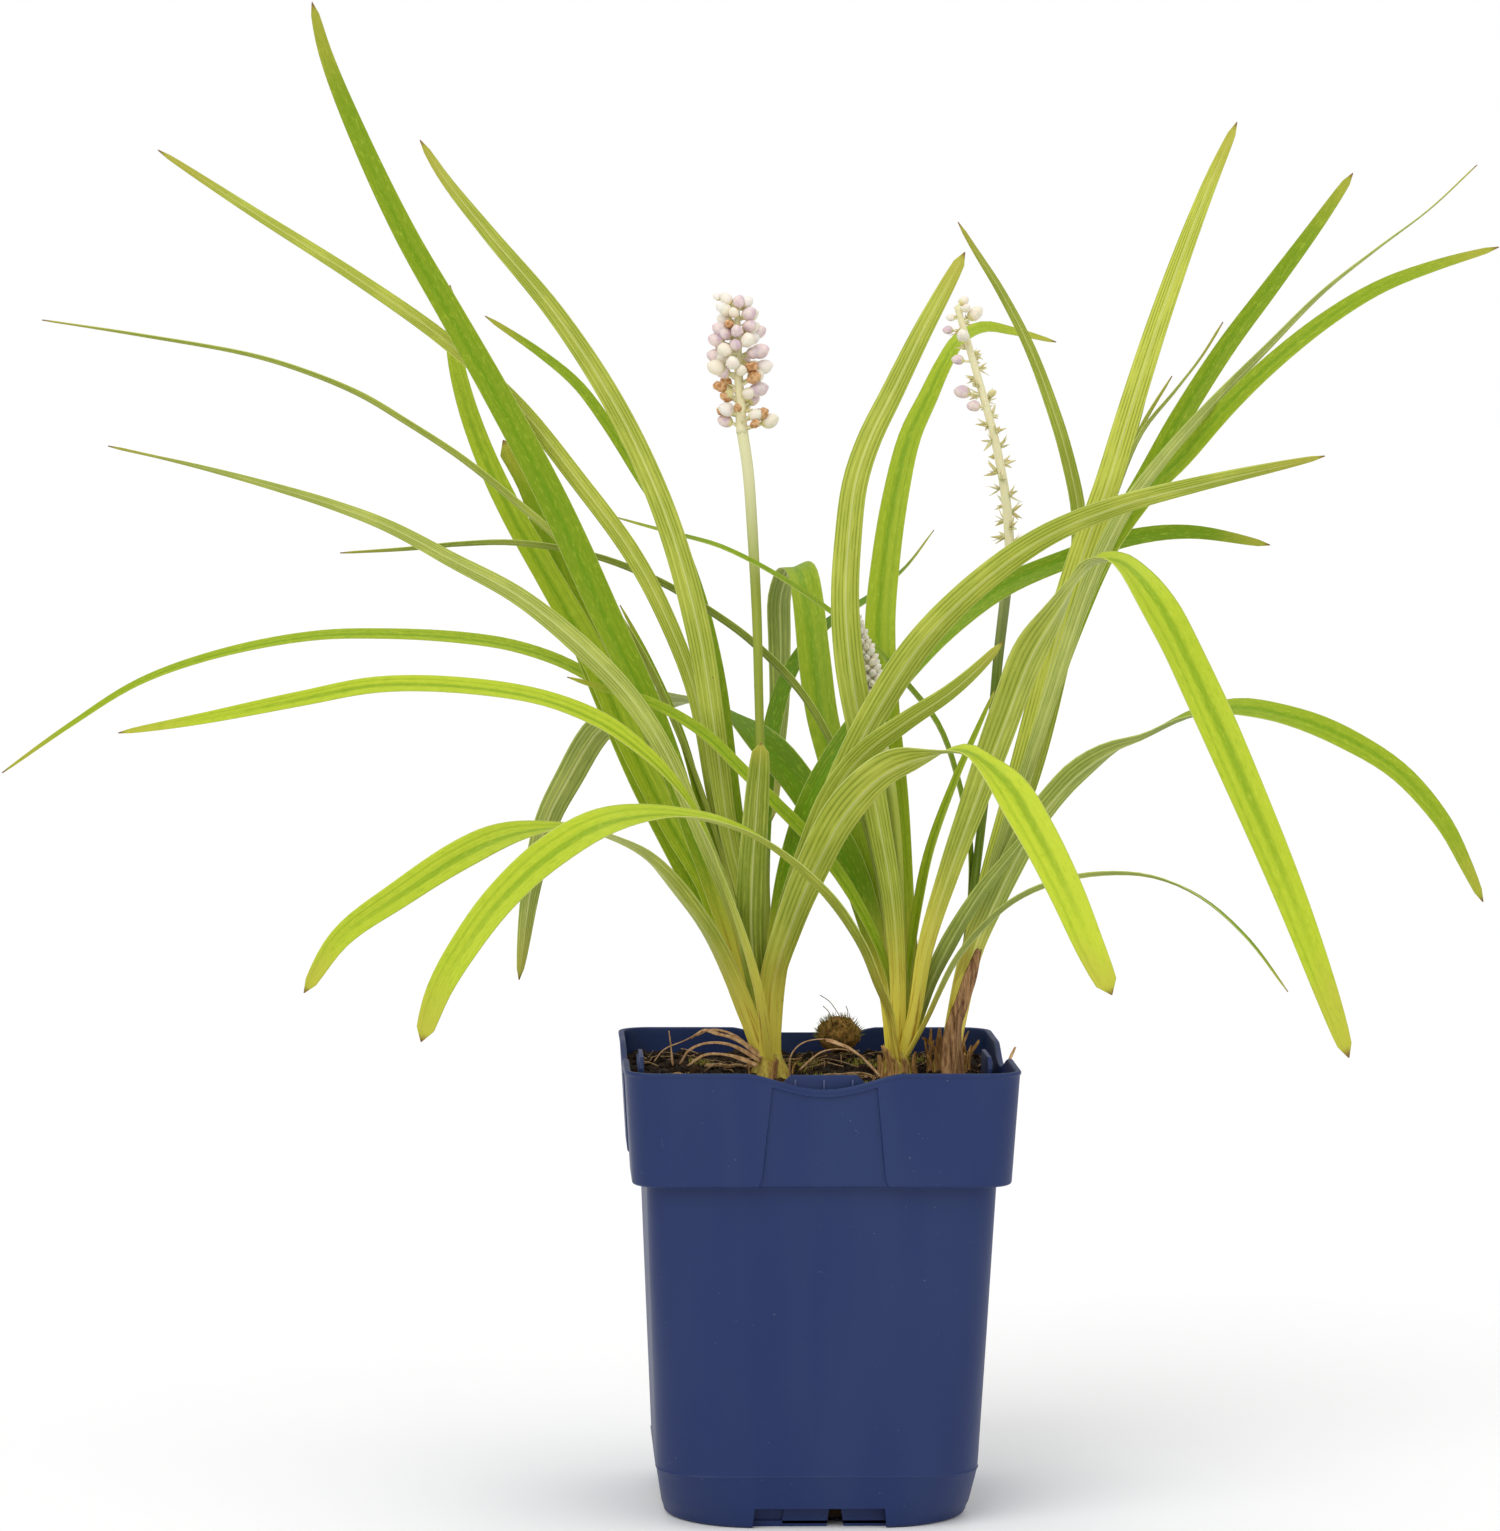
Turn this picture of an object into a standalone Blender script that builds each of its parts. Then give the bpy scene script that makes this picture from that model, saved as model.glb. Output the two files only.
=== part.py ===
"""Potted liriope: a square plastic nursery pot, potting soil, three leafy tufts and three flower heads.

The frame is in metres, +Z up and +X to the right of the front face, which looks along -Y.
The origin is the centre of the pot's underside, on the surface that the pot stands on.
"""

import math
import random

import bmesh
import bpy
from mathutils import Matrix, Quaternion, Vector, noise

MM = 0.001

# Pot: the outer shell, as driving sizes
POT_HEIGHT = 129.0 * MM
RIM_HALF = 54.9 * MM
COLLAR_FOOT_HALF = 52.9 * MM
COLLAR_FOOT_HEIGHT = 97.0 * MM
BODY_TOP_HALF = 48.7 * MM
SEAM_HALF = 45.2 * MM
SEAM_HEIGHT = 15.0 * MM
BASE_HALF = 42.9 * MM
WALL = 1.3 * MM
COLLAR_WALL = 1.7 * MM
FLOOR = 1.6 * MM
COLLAR_CORNER = 9.0 * MM
BODY_TOP_CORNER = 7.5 * MM
SEAM_CORNER = 17.0 * MM
BASE_CORNER = 26.0 * MM
SEAM_LIP = 0.3 * MM

# Pot: the label recess, pocket and drain notch that each of the four sides has
DIP_HALF = 21.3 * MM
DIP_DEPTH = 4.4 * MM
LIP_BEAD = 2.3 * MM
RECESS_DEPTH = 0.8 * MM
RECESS_TOP_HALF = 14.7 * MM
RECESS_FOOT_HALF = 16.7 * MM
RECESS_FLARE = 3.2 * MM
TAB_HALF = 12.2 * MM
TAB_CHAMFER = 3.0 * MM
TAB_FACE = 49.9 * MM
TAB_THICK = 1.2 * MM
TAB_DROP = 1.0 * MM
TAB_RIB_PITCH = 7.9 * MM
TAB_RIB_SIZE = Vector((0.5, 0.9, 3.4)) * MM
NOTCH_HALF = 18.8 * MM
NOTCH_HEIGHT = 5.8 * MM
NOTCH_DEPTH = 3.6 * MM
DRAIN_HALF = 2.6 * MM
DRAIN_OFFSET = 4.5 * MM
DRAIN_DEPTH = 14.0 * MM

# Soil and what stands in it
GAP = 0.3 * MM
SOIL_LEVEL = 121.0 * MM
SOIL_MOUND = 3.2 * MM
SOIL_MOUND_AT = Vector((10.0, 14.0)) * MM
SOIL_MOUND_SPREAD = 22.0 * MM
SOIL_ROUGHNESS = 1.7 * MM
SOIL_LUMP = 11.0 * MM
CROWN_SINK = 12.0 * MM
CROWN_RISE = 7.0 * MM
MOSS_AT = Vector((7.5, 22.0)) * MM
MOSS_RADIUS = 6.2 * MM
MOSS_LIFT = 3.6 * MM
ROOT_RADIUS = 0.7 * MM

# Blades
BLADE_THICK = 0.7 * MM
BLADE_STEP = 23.0 * MM
STALK_RADIUS = 1.25 * MM
BUD_SIDES = 5

# The photograph's viewpoint. A centreline point is read off it as (pixel, pixel, depth in mm),
# on the 1500 by 1531 picture, and depth is measured from the pot's centre, away from the viewer.
EYE = Vector((-0.085, -1.500, 0.314))
HEADING = math.radians(2.53)
PITCH = math.radians(3.96)
ROLL = math.radians(-0.33)
FOCAL_PX = 5306.0
PICTURE_CENTRE = (750.0, 765.5)


class Crown:
    """Where a tuft stands: its centre, the half-widths of its foot, and its blades and stalk."""

    def __init__(self, x, y, half_x, half_y, blades, stalk=()):
        self.centre = Vector((x, y)) * MM
        self.half = Vector((half_x, half_y)) * MM
        self.blades = blades
        self.stalk = stalk


class Blade:
    """A leaf: its widest width in mm, its centreline as seen, and how its face turns along it.

    turn holds degrees at the foot, the middle and the tip: 0 shows the upper side to the viewer,
    180 or -180 the underside, and 90 or -90 the edge. On a leaf that folds over towards or away
    from the viewer, the later degrees are counted from the face as the fold carries it. taper is
    low for a leaf that stays wide towards its tip, and end is the width in mm at the tip.
    """

    def __init__(self, width, turn, seen, taper=0.45, end=0.8, folds=False):
        self.width = width * MM
        self.turn = turn
        self.seen = seen
        self.taper = taper
        self.end = end * MM
        self.folds = folds


LEFT_BLADES = [
    # Up and to the left, from the front one to the back one
    Blade(8.6, (150, 92, 12), [(741, 1000, -6), (717, 940, -12), (683, 889, -20), (650, 853, -30),
          (612, 832, -42), (575, 824, -54), (517, 830, -66), (461, 853, -80), (400, 893, -90),
          (345, 943, -101), (304, 992, -110)]),
    Blade(4.8, (140, 70, 30), [(747, 1000, -8), (735, 930, -13), (711, 855, -18), (683, 794, -22),
          (650, 756, -26), (600, 724, -30), (544, 700, -34), (461, 686, -40), (378, 686, -45),
          (300, 701, -49), (200, 719, -55), (118, 733, -59)]),
    Blade(6.0, (180, 180, 150), [(752, 985, -6), (740, 920, -9), (715, 840, -12), (680, 760, -14),
          (640, 705, -16), (585, 655, -17), (517, 601, -19), (450, 564, -22), (389, 527, -25),
          (333, 507, -28), (278, 489, -31), (200, 465, -36), (108, 446, -44)], taper=0.85),
    Blade(8.5, (10, 0, 0), [(738, 965, 1), (696, 838, 3), (659, 722, 4), (608, 611, 4),
          (554, 500, 2), (502, 400, 1), (455, 317, 0), (407, 233, -2), (360, 139, -5),
          (326, 55, -9), (312, 3, -12)]),
    Blade(3.4, (125, 130, 120), [(728, 880, 6), (700, 790, 7), (650, 670, 7), (600, 590, 6),
          (561, 539, 4), (517, 500, 2), (461, 455, 1), (406, 420, 0), (361, 395, -1),
          (306, 374, -2), (250, 358, -4), (139, 337, -9), (42, 320, -14)]),
    Blade(5.6, (180, 180, 160), [(740, 920, 8), (716, 800, 9), (693, 694, 8), (660, 611, 7),
          (626, 549, 7), (575, 474, 7), (517, 400, 7), (447, 338, 9), (361, 278, 12),
          (250, 212, 16), (158, 150, 20)]),
    Blade(3.6, (30, 40, 40), [(752, 985, 6), (735, 910, 7), (705, 820, 8), (681, 735, 8),
          (649, 660, 8), (620, 605, 8)]),
    Blade(8.0, (0, 0, 10), [(722, 985, 10), (703, 889, 13), (676, 833, 17), (635, 750, 19),
          (600, 667, 20), (554, 583, 21), (514, 511, 23), (489, 456, 26), (468, 400, 30),
          (456, 350, 35), (450, 285, 42)]),
    Blade(10.0, (0, 0, 0), [(730, 940, 18), (700, 860, 24), (650, 768, 28), (597, 667, 30),
          (575, 611, 30), (552, 540, 30), (530, 483, 30), (506, 441, 31)], taper=0.25, end=6.0),
    Blade(4.3, (30, 35, 40), [(735, 950, 18), (700, 845, 24), (655, 745, 30), (615, 692, 34),
          (572, 663, 38), (517, 646, 43), (461, 637, 47), (385, 633, 52), (314, 635, 56),
          (222, 650, 61), (139, 679, 68), (70, 723, 74), (2, 772, 78)]),
    # Upright
    Blade(7.3, (180, 180, 170), [(752, 930, 4), (729, 833, 3), (717, 735, 0), (703, 639, -4),
          (681, 556, -7), (652, 483, -10), (607, 400, -14), (553, 316, -19), (491, 233, -25),
          (447, 178, -29), (420, 140, -32)], taper=0.38),
    Blade(4.2, (0, 10, 20), [(752, 950, 10), (745, 880, 13), (735, 780, 17), (722, 680, 22),
          (702, 595, 28), (672, 520, 34), (640, 475, 40), (606, 420, 44), (577, 381, 48),
          (541, 350, 53), (485, 316, 58)]),
    Blade(7.2, (180, 180, 180), [(758, 990, -8), (754, 930, -16), (754, 870, -26), (757, 810, -38),
          (761, 745, -54)]),
    Blade(6.0, (0, -20, -75), [(765, 960, 8), (762, 880, 18), (764, 800, 30), (772, 730, 44),
          (790, 672, 56), (824, 627, 68), (870, 597, 80), (905, 568, 88), (934, 530, 94)]),
    # Up and to the right
    Blade(8.6, (-170, -165, -150), [(785, 960, -6), (803, 900, -10), (825, 825, -14),
          (848, 770, -17), (880, 712, -20), (925, 645, -24), (985, 588, -28), (1050, 545, -33),
          (1120, 512, -38), (1200, 486, -43), (1325, 456, -52)]),
    Blade(7.2, (-165, -165, -160), [(778, 975, -9), (792, 905, -15), (810, 850, -21),
          (832, 795, -27), (862, 755, -33), (905, 722, -40), (950, 693, -46), (980, 668, -50),
          (1003, 642, -53)]),
    Blade(11.0, (-165, -105, -15), [(776, 985, -12), (790, 930, -20), (812, 873, -29),
          (845, 812, -40), (882, 773, -50), (925, 753, -60), (965, 750, -69), (1000, 775, -78),
          (1035, 825, -86), (1067, 885, -93), (1092, 945, -99), (1110, 994, -103)], taper=0.3),
    Blade(7.5, (-10, -30, -50), [(776, 940, 2), (790, 860, 2), (813, 795, 1), (845, 742, 2),
          (885, 690, 8), (940, 632, 20), (1000, 588, 34), (1060, 560, 46), (1130, 535, 52),
          (1190, 528, 55), (1270, 545, 58)]),
]

MIDDLE_BLADES = [
    # Over to the left
    Blade(8.6, (110, 95, 10), [(890, 1015, -10), (878, 985, -18), (862, 944, -27), (822, 888, -41),
          (762, 840, -54), (711, 820, -63), (656, 811, -72), (600, 825, -82), (544, 858, -89),
          (497, 900, -96), (465, 940, -102), (435, 990, -107), (420, 1042, -111)]),
    Blade(4.0, (40, 50, 40), [(892, 990, -2), (880, 950, -3), (855, 900, -4), (822, 852, -5),
          (774, 802, -5), (739, 767, -6), (711, 739, -6), (683, 719, -7), (650, 702, -8),
          (600, 687, -9), (567, 677, -10)]),
    Blade(3.0, (125, 130, 120), [(889, 1000, 2), (884, 920, 6), (866, 830, 10), (838, 755, 13),
          (802, 691, 15), (753, 640, 16), (711, 608, 16), (656, 576, 15), (594, 553, 14),
          (517, 541, 12), (461, 542, 10), (406, 549, 8), (340, 553, 6)]),
    Blade(9.6, (10, 90, 170), [(888, 985, 6), (872, 930, 10), (850, 865, 15), (820, 815, 20),
          (785, 768, 25), (745, 728, 31), (710, 704, 38), (672, 700, 46), (630, 708, 55),
          (598, 729, 62), (568, 778, 69), (550, 822, 75), (538, 889, 80), (522, 980, 85)]),
    Blade(9.6, (0, 0, 0), [(893, 985, 10), (880, 930, 14), (862, 870, 20), (845, 810, 26),
          (831, 761, 33), (820, 715, 40), (811, 655, 50), (804, 600, 61), (800, 572, 69),
          (794, 563, 78), (786, 568, 87), (779, 595, 94), (777, 640, 99), (778, 700, 103),
          (775, 765, 106), (771, 822, 109)], folds=True),
    # Upright
    Blade(7.6, (180, 180, 180), [(898, 985, -4), (892, 900, -6), (878, 820, -8), (862, 735, -10),
          (849, 660, -12), (845, 600, -13), (848, 540, -14), (855, 483, -14), (870, 440, -14),
          (893, 395, -13), (925, 333, -12), (953, 278, -11), (965, 252, -10)], taper=0.33),
    Blade(6.8, (0, 0, -60), [(912, 985, 6), (909, 900, 9), (902, 800, 14), (890, 710, 20),
          (882, 630, 27), (886, 567, 34), (894, 500, 41), (908, 437, 49), (925, 398, 55),
          (941, 362, 61), (960, 339, 68), (984, 327, 76), (1012, 331, 83), (1056, 342, 93)]),
    Blade(4.5, (-60, -60, -60), [(906, 1000, 4), (917, 915, 5), (930, 851, 4), (955, 781, 0),
          (975, 735, -4), (995, 690, -9)]),
    # Over to the right
    Blade(12.0, (-165, -100, -10), [(912, 1018, -8), (920, 947, -12), (940, 870, -17),
          (962, 802, -23), (995, 699, -33), (1037, 616, -45), (1075, 575, -55), (1098, 560, -64),
          (1124, 562, -74), (1160, 605, -84), (1205, 695, -93), (1250, 800, -102),
          (1290, 900, -108), (1325, 990, -113), (1352, 1058, -117)], taper=0.6, folds=True),
    Blade(5.0, (-120, -105, -70), [(938, 1010, -10), (960, 970, -18), (1000, 918, -30),
          (1040, 888, -38), (1090, 873, -44), (1150, 873, -50), (1200, 893, -55), (1250, 935, -59),
          (1288, 992, -62)]),
]

RIGHT_BLADES = [
    # Leaning to the left at the top
    Blade(5.0, (180, 180, 180), [(962, 1000, 6), (985, 930, 9), (1012, 850, 12), (1042, 765, 14),
          (1064, 680, 15), (1077, 600, 15), (1079, 520, 14), (1067, 456, 12), (1049, 398, 9),
          (1028, 344, 6), (1000, 290, 2), (975, 250, -3), (958, 222, -6)], taper=0.4),
    Blade(3.6, (60, 70, 60), [(962, 990, 12), (968, 920, 17), (970, 850, 21), (958, 782, 22),
          (938, 725, 21), (905, 682, 19), (870, 642, 14), (831, 612, 6), (780, 574, 1),
          (722, 543, -2), (681, 531, 2), (650, 524, 9), (615, 517, 16)]),
    # Up and to the right, from the front one to the back one
    Blade(9.2, (-150, -110, -35), [(958, 1015, -2), (972, 950, -6), (1000, 870, -10),
          (1035, 808, -14), (1080, 762, -17), (1130, 738, -19), (1190, 714, -20), (1250, 705, -20),
          (1310, 716, -19), (1370, 752, -18), (1425, 810, -16), (1462, 862, -13),
          (1484, 902, -10)]),
    Blade(5.2, (-170, -155, -110), [(955, 1000, -4), (975, 930, -6), (1005, 840, -8),
          (1035, 755, -9), (1065, 670, -9), (1092, 590, -8), (1122, 520, -6), (1156, 466, -3),
          (1208, 405, 2), (1267, 347, 8), (1322, 292, 14), (1378, 248, 20), (1431, 210, 26),
          (1479, 164, 33)], taper=1.1),
    Blade(6.6, (180, 180, 180), [(962, 985, 0), (982, 890, 1), (1010, 795, 2), (1036, 710, 3),
          (1060, 630, 3), (1085, 556, 2), (1109, 489, 0), (1128, 420, -2), (1149, 350, -5),
          (1168, 294, -7), (1188, 239, -9), (1210, 183, -12), (1237, 123, -15)]),
    Blade(7.0, (-10, -15, -20), [(972, 975, 4), (1000, 885, 6), (1032, 790, 7), (1060, 705, 8),
          (1088, 630, 8), (1120, 555, 7), (1156, 487, 5), (1183, 453, 4), (1225, 403, 1),
          (1267, 363, -2), (1322, 317, -5), (1378, 285, -9), (1433, 264, -13), (1499, 247, -18)]),
    Blade(3.6, (-150, -150, -140), [(975, 960, 14), (1005, 870, 17), (1040, 760, 19),
          (1070, 665, 20), (1097, 575, 20), (1120, 490, 20), (1144, 430, 21), (1178, 389, 22),
          (1205, 355, 23), (1223, 322, 24)], taper=0.8),
    Blade(6.8, (0, 0, -10), [(968, 985, 10), (995, 890, 15), (1025, 790, 20), (1057, 700, 24),
          (1090, 615, 27), (1122, 545, 29), (1150, 489, 30), (1187, 420, 32), (1233, 350, 35),
          (1278, 294, 37), (1321, 239, 40), (1353, 173, 44)], taper=0.33),
    Blade(3.6, (-150, -150, -140), [(975, 950, 20), (1010, 850, 25), (1045, 750, 29),
          (1075, 655, 31), (1100, 560, 32), (1122, 480, 32), (1143, 425, 32), (1174, 374, 32)]),
    Blade(6.0, (0, 0, 0), [(970, 960, 24), (1005, 860, 30), (1045, 740, 36), (1080, 630, 40),
          (1104, 530, 42), (1121, 470, 43), (1138, 418, 44), (1150, 374, 44)]),
]

# Flower stalks, from the crown to the foot of the head
LEFT_STALK = [(768, 1000, 4), (766, 900, 7), (762, 800, 8), (759, 700, 8), (757, 620, 8),
              (753, 540, 8), (748, 470, 8), (742, 430, 8)]
MIDDLE_STALK = [(904, 1000, 0), (901, 940, -1), (898, 850, -2), (891, 787, -3), (882, 740, -4),
                (878, 702, -4)]
RIGHT_STALK = [(960, 1000, 8), (970, 920, 15), (981, 830, 23), (991, 740, 31), (998, 660, 38),
               (1005, 600, 43), (1010, 552, 46)]

CROWNS = {
    "tuft_left": Crown(-12.5, -4.0, 6.0, 5.5, LEFT_BLADES, LEFT_STALK),
    "tuft_middle": Crown(23.5, -5.0, 5.2, 5.2, MIDDLE_BLADES, MIDDLE_STALK),
    "tuft_right": Crown(38.5, 2.0, 5.5, 5.5, RIGHT_BLADES, RIGHT_STALK),
}

# Flower heads: the axis from the top of the stalk to the tip of the head
LEFT_HEAD = [(741, 428, 8), (739, 385, 8), (738, 340, 8), (737, 300, 8)]
MIDDLE_HEAD = [(877, 700, -4), (871, 675, -4), (863, 645, -4), (855, 615, -4)]
RIGHT_HEAD = [(1010, 551, 46), (1005, 500, 47), (995, 440, 48), (980, 378, 49), (961, 306, 50)]

COLOURS = {
    "pot": ((0.028, 0.045, 0.135), 0.42),
    "soil": ((0.035, 0.022, 0.014), 0.95),
    "moss": ((0.16, 0.17, 0.04), 0.95),
    "leaf": ((0.22, 0.38, 0.045), 0.5),
    "flower": ((0.86, 0.78, 0.68), 0.6),
    "dry": ((0.36, 0.2, 0.09), 0.85),
    "root": ((0.52, 0.33, 0.16), 0.85),
}


def clear_scene():
    for obj in list(bpy.data.objects):
        bpy.data.objects.remove(obj)


def material(name):
    found = bpy.data.materials.get(name)
    if found:
        return found
    colour, roughness = COLOURS[name]
    made = bpy.data.materials.new(name)
    made.use_nodes = True
    shader = made.node_tree.nodes["Principled BSDF"]
    shader.inputs["Base Color"].default_value = (*colour, 1.0)
    shader.inputs["Roughness"].default_value = roughness
    shader.inputs["Metallic"].default_value = 0.0
    return made


def object_from(mesh_maker, name, look, collection):
    """A named object whose mesh is what mesh_maker puts into an empty bmesh."""
    made = bmesh.new()
    mesh_maker(made)
    mesh = bpy.data.meshes.new(name)
    made.to_mesh(mesh)
    made.free()
    mesh.materials.append(material(look))
    obj = bpy.data.objects.new(name, mesh)
    collection.objects.link(obj)
    return obj


def seen_at(px, py, depth_mm):
    """The point behind a pixel of the photograph at that depth."""
    forward = Vector((math.sin(HEADING) * math.cos(PITCH), math.cos(HEADING) * math.cos(PITCH),
                      -math.sin(PITCH)))
    right = Vector((math.cos(HEADING), -math.sin(HEADING), 0.0))
    up = right.cross(forward)
    across, rise = px - PICTURE_CENTRE[0], PICTURE_CENTRE[1] - py
    u = across * math.cos(ROLL) + rise * math.sin(ROLL)
    v = rise * math.cos(ROLL) - across * math.sin(ROLL)
    sight = forward * FOCAL_PX + right * u + up * v
    return EYE + sight * ((depth_mm * MM - EYE.y) / sight.y)


def smooth_curve(points, step, least=6):
    """Points about a step apart on a centripetal Catmull-Rom curve through the given ones."""
    ends = [points[0] * 2 - points[1], *points, points[-1] * 2 - points[-2]]
    fine = []
    for p0, p1, p2, p3 in zip(ends, ends[1:], ends[2:], ends[3:]):
        t1 = (p1 - p0).length ** 0.5
        t2 = t1 + (p2 - p1).length ** 0.5
        t3 = t2 + (p3 - p2).length ** 0.5
        for k in range(8):
            t = t1 + (t2 - t1) * k / 8
            a1 = p0.lerp(p1, t / t1)
            a2 = p1.lerp(p2, (t - t1) / (t2 - t1))
            a3 = p2.lerp(p3, (t - t2) / (t3 - t2))
            fine.append(a1.lerp(a2, t / t2).lerp(a2.lerp(a3, (t - t1) / (t3 - t1)),
                                                 (t - t1) / (t2 - t1)))
    fine.append(points[-1])
    runs = [0.0]
    for a, b in zip(fine, fine[1:]):
        runs.append(runs[-1] + (b - a).length)
    count = max(least, round(runs[-1] / step))
    curve, k = [], 0
    for i in range(count + 1):
        want = runs[-1] * i / count
        while k < len(runs) - 2 and runs[k + 1] < want:
            k += 1
        share = (want - runs[k]) / (runs[k + 1] - runs[k])
        curve.append(fine[k].lerp(fine[k + 1], share))
    return curve


def carried_frames(curve):
    """(tangent, side) at each point: the side starts along +X and is carried along untwisted."""
    side = Vector((1, 0, 0))
    last = Vector((0, 0, 1))
    frames = []
    for tangent in along(curve):
        side = last.rotation_difference(tangent) @ side
        side = (side - tangent * side.dot(tangent)).normalized()
        frames.append((tangent, side))
        last = tangent
    return frames


def eased(share):
    share = min(max(share, 0.0), 1.0)
    return share * share * (3 - 2 * share)


def blade_width(blade, share):
    """The blade widens from its sheath to its middle and narrows to the tip."""
    grown = 0.5 + 0.5 * eased(share / 0.5)
    narrowed = min(1.0, (1.0 - share) / 0.53) ** blade.taper
    return max(blade.end, blade.width * grown * narrowed)


def turn_at(turn, share):
    """Degrees of turn, eased from the foot's to the middle's to the tip's."""
    foot, middle, tip = turn
    if share < 0.5:
        return foot + (middle - foot) * eased(share * 2)
    return middle + (tip - middle) * eased(share * 2 - 1)


def along(curve):
    """The direction of travel at each point of a curve."""
    return [(curve[min(i + 1, len(curve) - 1)] - curve[max(i - 1, 0)]).normalized()
            for i in range(len(curve))]


def add_blade(bm, root, blade):
    """An arched ribbon with a keel, open, for Solidify: two edges and a midrib of points."""
    curve = smooth_curve([root, *(seen_at(*p) for p in blade.seen)], BLADE_STEP)
    rows = []
    last = facing = None
    for i, (point, tangent) in enumerate(zip(curve, along(curve))):
        share = i / (len(curve) - 1)
        if blade.folds and last:
            facing = last.rotation_difference(tangent) @ facing
        else:
            to_eye = EYE - point
            facing = (to_eye - tangent * to_eye.dot(tangent)).normalized()
        last = tangent
        upper = Quaternion(tangent, math.radians(turn_at(blade.turn, share))) @ facing
        side = tangent.cross(upper)
        half = blade_width(blade, share) / 2
        keel = half * (0.42 - 0.26 * share)
        rows.append([bm.verts.new(point - side * half + upper * keel / 2),
                     bm.verts.new(point - upper * keel / 2),
                     bm.verts.new(point + side * half + upper * keel / 2)])
    for a, b in zip(rows, rows[1:]):
        for k in range(2):
            bm.faces.new((a[k], a[k + 1], b[k + 1]))
            bm.faces.new((a[k], b[k + 1], b[k]))


def add_tube(bm, curve, radii, sides):
    """A round bar along a curve, with flat ends."""
    rings = []
    for point, (tangent, side), radius in zip(curve, carried_frames(curve), radii):
        across = tangent.cross(side)
        rings.append([bm.verts.new(point + (side * math.cos(a) + across * math.sin(a)) * radius)
                      for a in (2 * math.pi * k / sides for k in range(sides))])
    join_rings(bm, rings)


def join_rings(bm, rings):
    """A closed loft through rings of equal counts, with its first and last ring filled."""
    count = len(rings[0])
    for low, high in zip(rings, rings[1:]):
        for k in range(count):
            bm.faces.new((low[k], low[(k + 1) % count], high[(k + 1) % count], high[k]))
    bm.faces.new(rings[0][::-1])
    bm.faces.new(rings[-1])
    bmesh.ops.recalc_face_normals(bm, faces=bm.faces)


def rounded_square(half, corner, arc_steps=6, side_steps=1):
    """Points of a square with round corners, anticlockwise from the middle of its right side."""
    flat = half - corner
    points = []
    for quarter in range(4):
        turned = Matrix.Rotation(quarter * math.pi / 2, 2)
        start = -flat if quarter else 0.0
        for k in range(side_steps):
            points.append(turned @ Vector((half, start + (flat - start) * k / side_steps)))
        for k in range(arc_steps):
            a = math.pi / 2 * k / arc_steps
            points.append(turned @ Vector((flat + corner * math.cos(a),
                                           flat + corner * math.sin(a))))
    for k in range(side_steps):
        points.append(Vector((half, -flat + flat * k / side_steps)))
    return points


def ring_at(bm, outline, height):
    return [bm.verts.new((p.x, p.y, height)) for p in outline]


def unite(base, tools, solver="MANIFOLD"):
    """Joins the tools to the base for good, and removes them."""
    group = bpy.data.collections.new(base.name + "_tools")
    bpy.context.scene.collection.children.link(group)
    for tool in tools:
        for owner in list(tool.users_collection):
            owner.objects.unlink(tool)
        group.objects.link(tool)
    join = base.modifiers.new("join", "BOOLEAN")
    join.operation = "UNION"
    join.operand_type = "COLLECTION"
    join.collection = group
    join.solver = solver
    apply_modifiers(base)
    for tool in tools:
        bpy.data.objects.remove(tool)
    bpy.data.collections.remove(group)


def apply_modifiers(obj):
    bpy.context.view_layer.update()
    evaluated = obj.evaluated_get(bpy.context.evaluated_depsgraph_get())
    mesh = bpy.data.meshes.new_from_object(evaluated)
    mesh.name = obj.name
    obj.modifiers.clear()
    obj.data = mesh


def cut(obj, cutters):
    """Leaves a live Boolean on obj for each cutter."""
    for cutter in cutters:
        cutter.hide_render = True
        cutter.display_type = "WIRE"
        away = obj.modifiers.new("cut_" + cutter.name, "BOOLEAN")
        away.operation = "DIFFERENCE"
        away.object = cutter
        away.solver = "EXACT"


def add_prism(bm, outline, low, high):
    """A prism of an (x, z) outline between two values of y."""
    near = [bm.verts.new((x, low, z)) for x, z in outline]
    far = [bm.verts.new((x, high, z)) for x, z in outline]
    join_rings(bm, [near, far])


def add_box(bm, low, high):
    centre, size = (low + high) / 2, high - low
    bmesh.ops.create_cube(bm, size=1.0, matrix=Matrix.Translation(centre) @ Matrix.Diagonal(
        (*size, 1.0)))


def dip_height(x):
    """Height of the rim's edge over a side, with the shallow dip for a label."""
    return POT_HEIGHT - DIP_DEPTH * math.cos(math.pi / 2 * min(1.0, abs(x) / DIP_HALF)) ** 1.4


def across_dip(half, steps):
    return [-half + 2 * half * k / steps for k in range(steps + 1)]


def recess_outline():
    """The sunk label panel: narrower at the top, where it follows the dip, and flared at its foot."""
    top = [(x, dip_height(x) - LIP_BEAD) for x in across_dip(RECESS_TOP_HALF, 10)]
    foot = COLLAR_FOOT_HEIGHT - 1.0 * MM
    bend = foot + 6.0 * MM
    flare = []
    for k in range(5):
        a = math.pi / 2 * k / 4
        flare.append((RECESS_FOOT_HALF + RECESS_FLARE * (1 - math.cos(a)),
                      bend - (bend - foot) * math.sin(a)))
    return [*top, *flare, *((-x, z) for x, z in reversed(flare))]


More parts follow.
